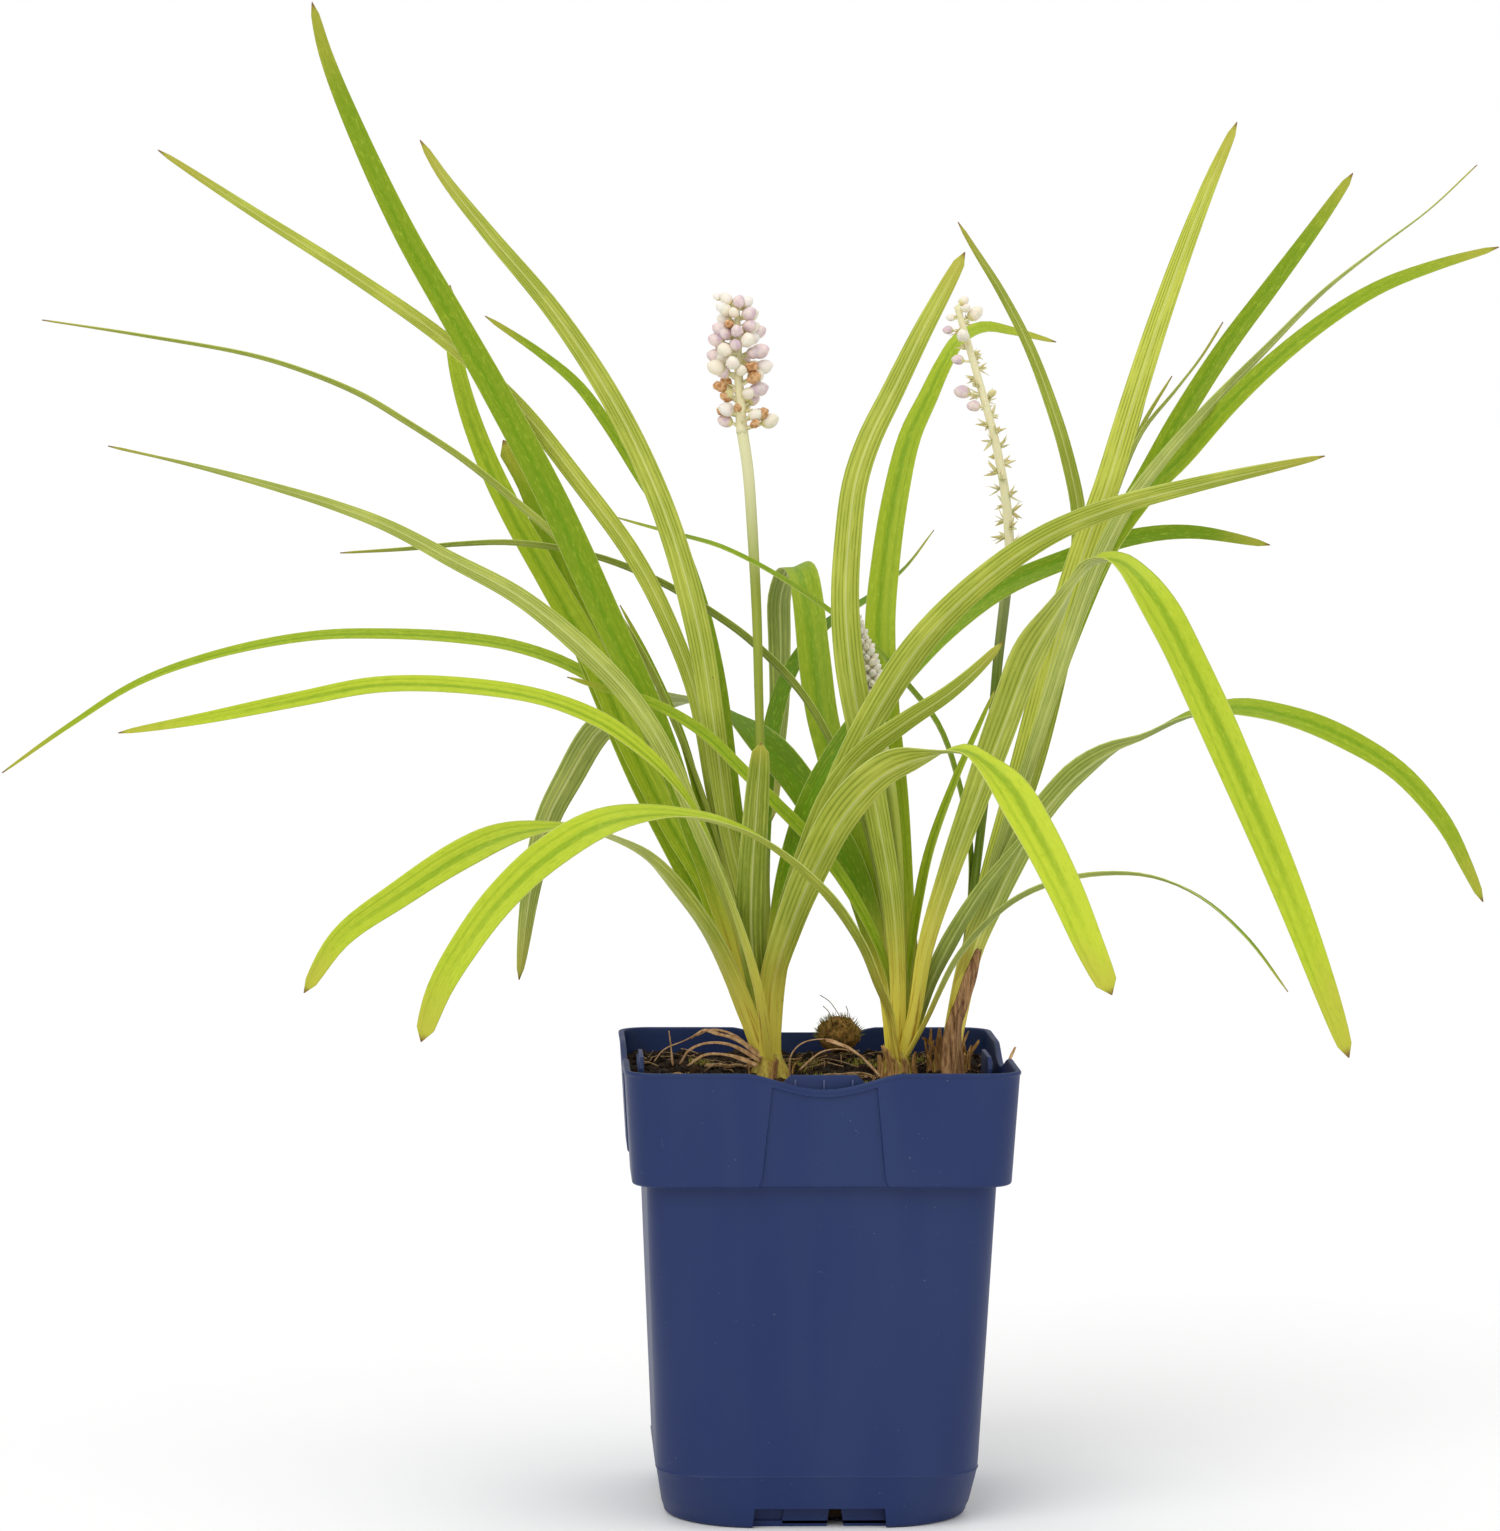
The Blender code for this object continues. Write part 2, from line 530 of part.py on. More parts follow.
def add_shell(bm):
    """The pot's wall: outside from the floor up, over the rim, and down the inside."""
    sections = [
        (0.0, BASE_HALF - 1.6 * MM, BASE_CORNER - 1.0 * MM),
        (0.5 * MM, BASE_HALF - 0.5 * MM, BASE_CORNER - 0.4 * MM),
        (1.8 * MM, BASE_HALF, BASE_CORNER),
        (SEAM_HEIGHT - SEAM_LIP, SEAM_HALF, SEAM_CORNER),
        (SEAM_HEIGHT, SEAM_HALF + SEAM_LIP, SEAM_CORNER),
        (SEAM_HEIGHT + SEAM_LIP, SEAM_HALF, SEAM_CORNER - 0.2 * MM),
        (50.0 * MM, 46.7 * MM, 12.5 * MM),
        (COLLAR_FOOT_HEIGHT, BODY_TOP_HALF, BODY_TOP_CORNER),
        (COLLAR_FOOT_HEIGHT, COLLAR_FOOT_HALF - 0.6 * MM, COLLAR_CORNER - 0.6 * MM),
        (COLLAR_FOOT_HEIGHT + 0.8 * MM, COLLAR_FOOT_HALF, COLLAR_CORNER),
        (POT_HEIGHT - 0.5 * MM, RIM_HALF, COLLAR_CORNER),
        (POT_HEIGHT, RIM_HALF - 0.5 * MM, COLLAR_CORNER - 0.5 * MM),
        (POT_HEIGHT, RIM_HALF - COLLAR_WALL + 0.3 * MM, COLLAR_CORNER - COLLAR_WALL + 0.3 * MM),
        (POT_HEIGHT - 0.6 * MM, RIM_HALF - COLLAR_WALL, COLLAR_CORNER - COLLAR_WALL),
        (COLLAR_FOOT_HEIGHT + 2.2 * MM, COLLAR_FOOT_HALF - COLLAR_WALL,
         COLLAR_CORNER - COLLAR_WALL),
        (COLLAR_FOOT_HEIGHT + 1.4 * MM, BODY_TOP_HALF - WALL, BODY_TOP_CORNER - WALL),
        (SEAM_HEIGHT, SEAM_HALF - WALL, SEAM_CORNER - WALL),
        (FLOOR + 1.5 * MM, BASE_HALF - WALL - 0.2 * MM, BASE_CORNER - WALL),
        (FLOOR, BASE_HALF - WALL - 1.6 * MM, BASE_CORNER - WALL - 1.4 * MM),
    ]
    join_rings(bm, [ring_at(bm, rounded_square(half, corner), height)
                    for height, half, corner in sections])


def add_side_pads(bm):
    """What stands inside a wall: the tab behind the label dip with its ribs, and the drain's block."""
    top = POT_HEIGHT - TAB_DROP
    foot = COLLAR_FOOT_HEIGHT + 0.5 * MM
    outline = [(-TAB_HALF, foot), (TAB_HALF, foot), (TAB_HALF, top - TAB_CHAMFER),
               (TAB_HALF - TAB_CHAMFER, top), (TAB_CHAMFER - TAB_HALF, top),
               (-TAB_HALF, top - TAB_CHAMFER)]
    add_prism(bm, outline, -TAB_FACE, -TAB_FACE + TAB_THICK)
    for k in (-1, 0, 1):
        centre = Vector((k * TAB_RIB_PITCH, -TAB_FACE, top - 1.2 * MM - TAB_RIB_SIZE.z / 2))
        add_box(bm, centre - TAB_RIB_SIZE / 2, centre + TAB_RIB_SIZE / 2)


def add_drain_block(bm):
    reach = BASE_HALF - NOTCH_DEPTH - 2 * WALL
    add_box(bm, Vector((-NOTCH_HALF - WALL, -BASE_HALF + 0.6 * MM, 0.8 * MM)),
            Vector((NOTCH_HALF + WALL, -reach, NOTCH_HEIGHT + WALL)))


def tilted(bm, verts_before):
    """Leans what was just made to the slope of the collar's face, about the collar's foot."""
    lean = math.atan((RIM_HALF - COLLAR_FOOT_HALF) / (POT_HEIGHT - COLLAR_FOOT_HEIGHT))
    pivot = Vector((0, -COLLAR_FOOT_HALF, COLLAR_FOOT_HEIGHT))
    bmesh.ops.rotate(bm, cent=pivot, matrix=Matrix.Rotation(lean, 3, "X"),
                     verts=[v for v in bm.verts if v not in verts_before])


def add_dip_cutter(bm):
    outline = [(x, dip_height(x)) for x in across_dip(DIP_HALF, 20)]
    outline[0] = (-DIP_HALF - 0.5 * MM, POT_HEIGHT + 0.02 * MM)
    outline[-1] = (DIP_HALF + 0.5 * MM, POT_HEIGHT + 0.02 * MM)
    above = POT_HEIGHT + 4 * MM
    add_prism(bm, [*outline, (DIP_HALF + 0.5 * MM, above), (-DIP_HALF - 0.5 * MM, above)],
              -RIM_HALF - 3 * MM, -TAB_FACE - 1.2 * MM)


def add_recess_cutter(bm):
    before = set(bm.verts)
    add_prism(bm, recess_outline(), -COLLAR_FOOT_HALF - 4 * MM, -COLLAR_FOOT_HALF + RECESS_DEPTH)
    tilted(bm, before)


def add_notch_cutter(bm):
    outline = [(-NOTCH_HALF, -1 * MM), (NOTCH_HALF, -1 * MM), (NOTCH_HALF - 0.6 * MM, NOTCH_HEIGHT),
               (0.6 * MM - NOTCH_HALF, NOTCH_HEIGHT)]
    add_prism(bm, outline, -BASE_HALF - 5 * MM, -BASE_HALF + NOTCH_DEPTH)


def add_drain_cutter(bm):
    outline = [(DRAIN_OFFSET - DRAIN_HALF, -1 * MM), (DRAIN_OFFSET + DRAIN_HALF, -1 * MM),
               (DRAIN_OFFSET + 0.6 * DRAIN_HALF, NOTCH_HEIGHT - 0.3 * MM),
               (DRAIN_OFFSET - 0.6 * DRAIN_HALF, NOTCH_HEIGHT - 0.3 * MM)]
    add_prism(bm, outline, -BASE_HALF + NOTCH_DEPTH - 1 * MM, -BASE_HALF + DRAIN_DEPTH)


def on_four_sides(maker, name, look, collection):
    """One object for each side of the pot, turned into place from the front."""
    made = []
    for side in range(4):
        obj = object_from(maker, f"{name}_{side}", look, collection)
        obj.data.transform(Matrix.Rotation(side * math.pi / 2, 4, "Z"))
        made.append(obj)
    return made


def make_pot(collection, cutters):
    pot = object_from(add_shell, "pot", "pot", collection)
    pads = on_four_sides(add_side_pads, "tab", "pot", collection)
    blocks = on_four_sides(add_drain_block, "block", "pot", collection)
    unite_parts(pot, pads + blocks)
    for maker, name in ((add_dip_cutter, "dip"), (add_recess_cutter, "recess"),
                        (add_notch_cutter, "notch"), (add_drain_cutter, "drain")):
        cut(pot, on_four_sides(maker, name, "pot", cutters))
    return pot


def unite_parts(base, parts):
    """Joins parts, each of which may hold several overlapping bodies, to the base."""
    for part in parts:
        unite(base, separate_bodies(part), "EXACT")


def bodies_of(bm):
    """The connected bodies of a mesh, each as a set of its vertices."""
    bodies = []
    unseen = set(bm.verts)
    for start in bm.verts:
        if start not in unseen:
            continue
        unseen.discard(start)
        body, edge = {start}, [start]
        while edge:
            vert = edge.pop()
            for link in vert.link_edges:
                other = link.other_vert(vert)
                if other in unseen:
                    unseen.discard(other)
                    body.add(other)
                    edge.append(other)
        bodies.append(body)
    return bodies


def separate_bodies(obj):
    """Each body of a mesh as an object of its own, in place of the given one."""
    whole = bmesh.new()
    whole.from_mesh(obj.data)
    count = len(bodies_of(whole))
    made = []
    for number in range(count):
        def keep_one(bm, number=number):
            bm.from_mesh(obj.data)
            others = [v for k, body in enumerate(bodies_of(bm)) if k != number for v in body]
            bmesh.ops.delete(bm, geom=others, context="VERTS")
        made.append(object_from(keep_one, f"{obj.name}_{number}", obj.data.materials[0].name,
                                bpy.context.scene.collection))
    whole.free()
    bpy.data.objects.remove(obj)
    return made


def keep_main_body(obj):
    """Drops the loose scraps and fills the sealed hollows that fusing many blades leaves."""
    bm = bmesh.new()
    bm.from_mesh(obj.data)
    main = max(bodies_of(bm), key=len)
    bmesh.ops.delete(bm, geom=[v for v in bm.verts if v not in main], context="VERTS")
    bm.to_mesh(obj.data)
    bm.free()


def soil_height(x, y):
    """The soil's surface: nearly level, mounded behind the middle, and lumpy."""
    away = (Vector((x, y)) - SOIL_MOUND_AT).length
    mound = SOIL_MOUND * math.exp(-((away / SOIL_MOUND_SPREAD) ** 2))
    lumps = noise.noise(Vector((x, y, 0.0)) / SOIL_LUMP) * SOIL_ROUGHNESS
    crumbs = noise.noise(Vector((x, y, 5.0 * MM)) / (SOIL_LUMP * 0.35)) * SOIL_ROUGHNESS * 0.5
    return SOIL_LEVEL + mound + lumps + crumbs


def add_soil(bm):
    """Soil that fills the pot to its wall, less a gap, with a lumpy top."""
    inside_collar = RIM_HALF - COLLAR_WALL - GAP - 0.5 * MM
    sections = [
        (FLOOR + GAP, BASE_HALF - WALL - GAP - 2.4 * MM, BASE_CORNER - 4 * MM),
        (FLOOR + 2.2 * MM, BASE_HALF - WALL - GAP - 0.5 * MM, BASE_CORNER - WALL),
        (SEAM_HEIGHT, SEAM_HALF - WALL - GAP, SEAM_CORNER - WALL),
        (COLLAR_FOOT_HEIGHT + 1.8 * MM, BODY_TOP_HALF - WALL - GAP, BODY_TOP_CORNER - WALL),
        (COLLAR_FOOT_HEIGHT + 3.2 * MM, COLLAR_FOOT_HALF - COLLAR_WALL - GAP,
         COLLAR_CORNER - COLLAR_WALL),
    ]
    rings = [ring_at(bm, rounded_square(half, corner, 5, 3), height)
             for height, half, corner in sections]
    outline = rounded_square(inside_collar, COLLAR_CORNER - COLLAR_WALL, 5, 3)
    steps = 8
    for k in range(steps):
        share = 1.0 - k / steps
        spread = [p * share for p in outline]
        rings.append([bm.verts.new((p.x, p.y, soil_height(p.x, p.y))) for p in spread])
    join_rings(bm, rings)


def add_crown_hole(bm, crown):
    """A plain oval hole with a flat end, a gap wider than the crown's foot."""
    top, low = crown_levels(crown)
    size = crown.half + Vector((GAP, GAP))
    rings = []
    for height in (low - GAP, top + 20 * MM):
        rings.append([bm.verts.new((crown.centre.x + size.x * math.cos(a),
                                    crown.centre.y + size.y * math.sin(a), height))
                      for a in (2 * math.pi * k / 16 for k in range(16))])
    join_rings(bm, rings)


def crown_levels(crown):
    """Heights of the crown's top and of its foot in the soil."""
    ground = soil_height(*crown.centre)
    return ground + CROWN_RISE, ground - CROWN_SINK


def add_pocket_cutter(bm):
    """Keeps soil out of the label pocket and clear of the tab."""
    add_box(bm, Vector((-TAB_HALF - GAP, -RIM_HALF, COLLAR_FOOT_HEIGHT - 1 * MM)),
            Vector((TAB_HALF + GAP, -TAB_FACE + TAB_THICK + GAP, POT_HEIGHT + 9 * MM)))


def add_block_cutter(bm):
    """Clears the drain's block and the well behind it."""
    reach = BASE_HALF - NOTCH_DEPTH - 2 * WALL - GAP
    add_box(bm, Vector((-NOTCH_HALF - WALL - GAP, -BASE_HALF, -1 * MM)),
            Vector((NOTCH_HALF + WALL + GAP, -reach, NOTCH_HEIGHT + WALL + GAP)))


def add_moss_ball(bm, extra=0.0):
    centre = Vector((*MOSS_AT, soil_height(*MOSS_AT) + MOSS_LIFT))
    radius = MOSS_RADIUS + extra
    bmesh.ops.create_icosphere(bm, subdivisions=3, radius=radius,
                               matrix=Matrix.Translation(centre) @ Matrix.Diagonal(
                                   (1.0, 0.9, 0.85, 1.0)))


def add_moss(bm):
    """A moss cushion: a lumpy ball with short shoots standing out of its upper side."""
    add_moss_ball(bm)
    centre = Vector((*MOSS_AT, soil_height(*MOSS_AT) + MOSS_LIFT))
    for vert in bm.verts:
        out = vert.co - centre
        if out.z > 0.1 * MOSS_RADIUS:
            vert.co += out * 0.22 * noise.noise(vert.co / (3.0 * MM))


def make_soil(collection, cutters):
    soil = object_from(add_soil, "soil", "soil", collection)
    holes = []
    for name, crown in CROWNS.items():
        holes.append(object_from(lambda bm, c=crown: add_crown_hole(bm, c), "hole_" + name,
                                 "soil", cutters))
    holes += on_four_sides(add_pocket_cutter, "pocket", "soil", cutters)
    holes += on_four_sides(add_block_cutter, "clearance", "soil", cutters)
    holes.append(object_from(lambda bm: add_moss_ball(bm, GAP), "moss_seat", "soil", cutters))
    holes.append(object_from(add_sheath_slot, "sheath_slot", "soil", cutters))
    cut(soil, holes)
    return soil


def add_crown(bm, crown):
    """The tuft's foot: an oval stump that swells at the soil and closes over at the top."""
    top, low = crown_levels(crown)
    rings = []
    for share, swell in ((0.0, 0.75), (0.35, 1.0), (0.7, 0.98), (0.9, 0.8), (1.0, 0.5)):
        rings.append([bm.verts.new((crown.centre.x + crown.half.x * swell * math.cos(a),
                                    crown.centre.y + crown.half.y * swell * math.sin(a),
                                    low + (top - low) * share))
                      for a in (2 * math.pi * k / 16 for k in range(16))])
    join_rings(bm, rings)


def make_tuft(name, crown, collection):
    """The crown with its blades and flower stalk fused on, as they grew."""
    tuft = object_from(lambda bm: add_crown(bm, crown), name, "leaf", collection)
    top, _ = crown_levels(crown)
    root = Vector((crown.centre.x, crown.centre.y, top - 4 * MM))
    tools = []
    for number, blade in enumerate(crown.blades):
        lean = (seen_at(*blade.seen[0]) - root).normalized()
        foot = root + Vector((lean.x, lean.y, 0)) * crown.half.x * 0.5
        obj = object_from(lambda bm, b=blade, f=foot: add_blade(bm, f, b), f"blade_{number}",
                          "leaf", collection)
        shell = obj.modifiers.new("thickness", "SOLIDIFY")
        shell.thickness = BLADE_THICK
        shell.offset = 0.0
        apply_modifiers(obj)
        tools.append(obj)
    stalk = smooth_curve([root, *(seen_at(*p) for p in crown.stalk)], 16 * MM)
    radii = [STALK_RADIUS * (1.0 + 0.3 * eased(i / (len(stalk) - 1) * 2 - 1))
             for i in range(len(stalk))]
    tools.append(object_from(lambda bm: add_tube(bm, stalk, radii, 8), "stalk", "leaf",
                             collection))
    unite(tuft, tools)
    keep_main_body(tuft)


def add_bud(bm, foot, out, length, width):
    """A floret bud: a short neck that swells to a blunt, many-sided tip."""
    axis = out.normalized()
    side = axis.orthogonal().normalized()
    across = axis.cross(side)
    rings = []
    for share, size in ((0.0, 0.4), (0.55, 1.0), (0.88, 0.75), (1.0, 0.25)):
        centre = foot + axis * length * share
        rings.append([bm.verts.new(centre + (side * math.cos(a) + across * math.sin(a))
                                   * width / 2 * size)
                      for a in (2 * math.pi * k / BUD_SIDES for k in range(BUD_SIDES))])
    join_rings(bm, rings)


def add_spine(bm, foot, out, length, width):
    """A bract or bare pedicel: a three-sided spine."""
    bmesh.ops.create_cone(
        bm, cap_ends=True, segments=3, radius1=width / 2, radius2=width / 8, depth=length,
        matrix=Matrix.Translation(foot + out.normalized() * length / 2)
        @ out.to_track_quat("Z", "Y").to_matrix().to_4x4())


def head_axis(seen):
    return [seen_at(*p) for p in seen]


def point_on(axis, share):
    """The point and direction at a share of an axis's length."""
    lengths = [(b - a).length for a, b in zip(axis, axis[1:])]
    want = share * sum(lengths)
    for (a, b), length in zip(zip(axis, axis[1:]), lengths):
        if want <= length:
            return a.lerp(b, want / length), (b - a).normalized()
        want -= length
    return axis[-1].copy(), (axis[-1] - axis[-2]).normalized()


def around(direction, turns):
    """A unit vector across a direction, at that many turns round it."""
    side = Vector((1, 0, 0))
    side = (side - direction * side.dot(direction)).normalized()
    return Quaternion(direction, 2 * math.pi * turns) @ side


def make_head(name, seen, collection, core, plan):
    """A flower head: a tapered core, and what plan yields standing out of it."""
    axis = head_axis(seen)
    axis[0] = axis[0] + (axis[1] - axis[0]).normalized() * GAP
    curve = smooth_curve(axis, 8 * MM)
    radii = [core * (1.0 - 0.55 * i / (len(curve) - 1)) for i in range(len(curve))]
    head = object_from(lambda bm: add_tube(bm, curve, radii, 8), name, "flower", collection)
    tools = []
    for number, maker in enumerate(plan(curve)):
        tools.append(object_from(maker, f"{name}_{number}", "flower", collection))
    unite(head, tools)
    keep_main_body(head)


def full_head(count, bud, reach, seed):
    """Buds all round the core in a golden spiral, smaller towards the tip."""
    def plan(curve):
        draw = random.Random(seed)
        for k in range(count):
            share = 0.05 + 0.95 * k / (count - 1)
            centre, direction = point_on(curve, share)
            out = around(direction, 0.382 * k)
            lean = direction * (0.15 + 0.9 * share ** 3)
            size = bud * (1.0 - 0.35 * share ** 2) * draw.uniform(0.9, 1.12)
            foot = centre + out * reach * (0.25 - 0.15 * share)
            length = reach * (1.0 - 0.35 * share) + size * 0.7
            yield lambda bm, f=foot, o=out + lean, n=length, w=size: add_bud(bm, f, o, n, w)
    return plan


def spent_head(whorls, seed):
    """A spike past flowering: whorls of bare pedicels and bracts, with the last buds at the top."""
    def plan(curve):
        draw = random.Random(seed)
        for k in range(whorls):
            share = 0.05 + 0.88 * k / (whorls - 1)
            centre, direction = point_on(curve, share)
            for spoke in range(4):
                out = around(direction, 0.31 * k + spoke / 4 + draw.uniform(-0.05, 0.05))
                aim = out + direction * draw.uniform(0.1, 0.9)
                size = draw.uniform(2.6, 4.2) * MM
                yield lambda bm, f=centre + out * 0.4 * MM, o=aim, n=size: add_spine(
                    bm, f, o, n, 1.3 * MM)
            if share > 0.78 or k in (6, 9):
                out = around(direction, 0.382 * k)
                yield lambda bm, f=centre, o=out + direction * 0.4: add_bud(
                    bm, f, o, 5.6 * MM, 3.8 * MM)
        tip, direction = point_on(curve, 1.0)
        yield lambda bm, f=tip - direction * 1.5 * MM, o=direction: add_bud(
            bm, f, o, 4.5 * MM, 2.6 * MM)
    return plan


# The dry sheath stands in front of the right tuft, its foot in a plain slot.
SHEATH_AT = Vector((40.5, -12.5)) * MM
SHEATH_SEEN = [(953, 1035, -12.0), (962, 1005, -11.5), (972, 975, -11.0), (979, 950, -10.5)]
SHEATH_WIDTH = 9.0 * MM
SHEATH_SINK = 6.0 * MM


def sheath_foot():
    return Vector((*SHEATH_AT, soil_height(*SHEATH_AT) - SHEATH_SINK))


def add_sheath_slot(bm):
    foot = sheath_foot()
    reach = Vector((SHEATH_WIDTH / 2 + 0.8 * MM, 2.6 * MM, 0))
    add_box(bm, foot - reach - Vector((0, 0, 3 * GAP)), foot + reach + Vector((0, 0, 20 * MM)))


def add_sheath(bm):
    """A torn, rolled strip, widest above the soil."""
    curve = smooth_curve([sheath_foot(), *(seen_at(*p) for p in SHEATH_SEEN)], 5 * MM)
    rows = []
    for i, (point, (tangent, side)) in enumerate(zip(curve, carried_frames(curve))):
        share = i / (len(curve) - 1)
        outward = side.cross(tangent)
        half = SHEATH_WIDTH / 2 * (0.85 + 0.15 * math.sin(9 * share)) * (1 - 0.72 * share ** 2)
        row = []
        for k in range(5):
            a = (k / 4 - 0.5) * math.radians(150)
            row.append(bm.verts.new(point + side * half * math.sin(a)
                                    + outward * half * 0.45 * (math.cos(a) - 0.6)))
        rows.append(row)
    for a, b in zip(rows, rows[1:]):
        for k in range(4):
            bm.faces.new((a[k], a[k + 1], b[k + 1]))
            bm.faces.new((a[k], b[k + 1], b[k]))


def make_sheath(collection):
    sheath = object_from(add_sheath, "dry_sheath", "dry", collection)
    shell = sheath.modifiers.new("thickness", "SOLIDIFY")
    shell.thickness = 0.8 * MM
    shell.offset = 0.0


# Roots that lie on the soil: where each passes, in mm
SURFACE_ROOTS = {
    "root_left": [(-22, -13), (-27, -8), (-33, -11), (-39, -6), (-45, -9)],
    "root_middle": [(-4, -22), (0, -15), (6, -12), (12, -14), (16, -20)],
    "root_back": [(-30, 16), (-23, 10), (-16, 13), (-9, 9), (-3, 12)],
}


def make_root(name, path, collection):
    """A root lying just clear of the soil all along."""
    flat = smooth_curve([Vector((x, y, 0)) * MM for x, y in path], 2.5 * MM)
    curve = []
    for point in flat:
        near = [soil_height(point.x + dx, point.y + dy)
                for dx in (-1.2 * MM, 0, 1.2 * MM) for dy in (-1.2 * MM, 0, 1.2 * MM)]
        curve.append(Vector((point.x, point.y, max(near) + ROOT_RADIUS + 2 * GAP)))
    radii = [ROOT_RADIUS * (1.0 - 0.5 * i / (len(curve) - 1)) for i in range(len(curve))]
    object_from(lambda bm: add_tube(bm, curve, radii, 6), name, "root", collection)


def main():
    clear_scene()
    liriope = bpy.data.collections.new("liriope")
    cutters = bpy.data.collections.new("cutters")
    for collection in (liriope, cutters):
        bpy.context.scene.collection.children.link(collection)
    pot = make_pot(liriope, cutters)
    pot.data.shade_smooth()
    make_soil(liriope, cutters)
    object_from(add_moss, "moss", "moss", liriope)
    for name, crown in CROWNS.items():
        make_tuft(name, crown, liriope)
    make_head("flower_left", LEFT_HEAD, liriope, 1.9 * MM,
              full_head(40, 4.8 * MM, 5.4 * MM, seed=3))
    make_head("flower_middle", MIDDLE_HEAD, liriope, 1.4 * MM,
              full_head(32, 3.1 * MM, 2.6 * MM, seed=5))
    make_head("flower_right", RIGHT_HEAD, liriope, 1.5 * MM, spent_head(13, seed=8))
    make_sheath(liriope)
    for name, path in SURFACE_ROOTS.items():
        make_root(name, path, liriope)


main()
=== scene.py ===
import math
import random

import bmesh
import bpy
from mathutils import Matrix, Quaternion, Vector, noise


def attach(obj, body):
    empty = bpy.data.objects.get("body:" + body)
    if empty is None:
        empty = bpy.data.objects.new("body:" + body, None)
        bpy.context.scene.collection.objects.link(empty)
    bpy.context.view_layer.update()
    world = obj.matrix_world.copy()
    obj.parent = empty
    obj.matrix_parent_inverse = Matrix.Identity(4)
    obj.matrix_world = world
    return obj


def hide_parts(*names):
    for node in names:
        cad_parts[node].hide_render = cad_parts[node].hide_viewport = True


# The looks of the potted liriope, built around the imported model.
# Everything is in metres, +Z up, +X to the right of the front face, which looks along -Y.

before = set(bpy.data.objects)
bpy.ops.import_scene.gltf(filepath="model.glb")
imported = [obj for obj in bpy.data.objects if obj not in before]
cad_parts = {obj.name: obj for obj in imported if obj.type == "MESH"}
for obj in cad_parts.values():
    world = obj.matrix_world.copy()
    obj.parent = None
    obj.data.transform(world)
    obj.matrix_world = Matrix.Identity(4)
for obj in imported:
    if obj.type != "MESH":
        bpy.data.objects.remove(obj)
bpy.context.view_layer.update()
MM = 0.001

# Pot: the sizes of the model
POT_HEIGHT = 129.0 * MM
RIM_HALF = 54.9 * MM
COLLAR_FOOT_HALF = 52.9 * MM
COLLAR_FOOT_HEIGHT = 97.0 * MM
BODY_TOP_HALF = 48.7 * MM
BODY_MID_HALF = 46.7 * MM
BODY_MID_HEIGHT = 50.0 * MM
SEAM_HALF = 45.2 * MM
SEAM_HEIGHT = 15.0 * MM
BASE_HALF = 42.9 * MM
WALL = 1.3 * MM
COLLAR_WALL = 1.7 * MM
FLOOR = 1.6 * MM
COLLAR_CORNER = 9.0 * MM
BODY_TOP_CORNER = 7.5 * MM
BODY_MID_CORNER = 12.5 * MM
SEAM_CORNER = 17.0 * MM
BASE_CORNER = 26.0 * MM
SEAM_LIP = 0.2 * MM
DIP_HALF = 21.3 * MM
DIP_DEPTH = 4.4 * MM
LIP_BEAD = 2.3 * MM
RIM_PROUD = 0.25 * MM
RECESS_DEPTH = 0.8 * MM
RECESS_STEP = 0.3 * MM
RECESS_TOP_HALF = 14.7 * MM
RECESS_FOOT_HALF = 16.7 * MM
RECESS_FLARE = 3.2 * MM
RECESS_BEND = 6.0 * MM
TAB_HALF = 12.2 * MM
TAB_CHAMFER = 3.0 * MM
TAB_FACE = 49.9 * MM
TAB_THICK = 1.2 * MM
TAB_DROP = 1.0 * MM
TAB_RIB_PITCH = 7.9 * MM
TAB_RIB_SIZE = Vector((0.5, 0.9, 3.4)) * MM
NOTCH_HALF = 18.8 * MM
NOTCH_HEIGHT = 5.8 * MM
NOTCH_DEPTH = 3.6 * MM
DRAIN_HALF = 2.6 * MM
DRAIN_OFFSET = 4.5 * MM
DRAIN_DEPTH = 14.0 * MM
CORNER_STEPS = 12
FOOT_ROUND = 1.6 * MM
COLLAR_ROUND = 0.8 * MM
SHELL_CREASE = math.radians(50)
TAB_CREASE = math.radians(40)

# Soil and what stands in it, as in the model
GAP = 0.3 * MM
SOIL_LEVEL = 121.0 * MM
SOIL_MOUND = 3.2 * MM
SOIL_MOUND_AT = Vector((10.0, 14.0)) * MM
SOIL_MOUND_SPREAD = 22.0 * MM
SOIL_ROUGHNESS = 1.7 * MM
SOIL_LUMP = 11.0 * MM
CROWN_SINK = 12.0 * MM
CROWN_RISE = 7.0 * MM
MOSS_AT = Vector((7.5, 22.0)) * MM
MOSS_RADIUS = 6.1 * MM
MOSS_LIFT = 3.6 * MM
ROOT_RADIUS = 0.7 * MM
STALK_RADIUS = 1.25 * MM
STALK_SIDES = 20
CROWN_SIDES = 40
HEART_DEPTH = 4.0 * MM

# How many of each small thing there are, and the seeds of the random draws
CRUMBS = 2600
FIBRES = 90
CHIPS = 45
MOSS_SHOOTS = 330
SHOOTS_PER_MM = 26
SOIL_RINGS = 90
BACK_BUDS = 26
LEFT_BRACTS = 34
MIDDLE_FLORETS = 74
RIGHT_BUNCHES = 30
GOLDEN_TURN = 0.382
SEEDS = {"crumbs": 11, "fibres": 23, "chips": 31, "left head": 3, "middle head": 5, "right head": 8,
         "moss": 41, "patches": 43, "sheath": 52, "scraps": 61, "straws": 67, "roots": 71}
NOISE_SEED = 7

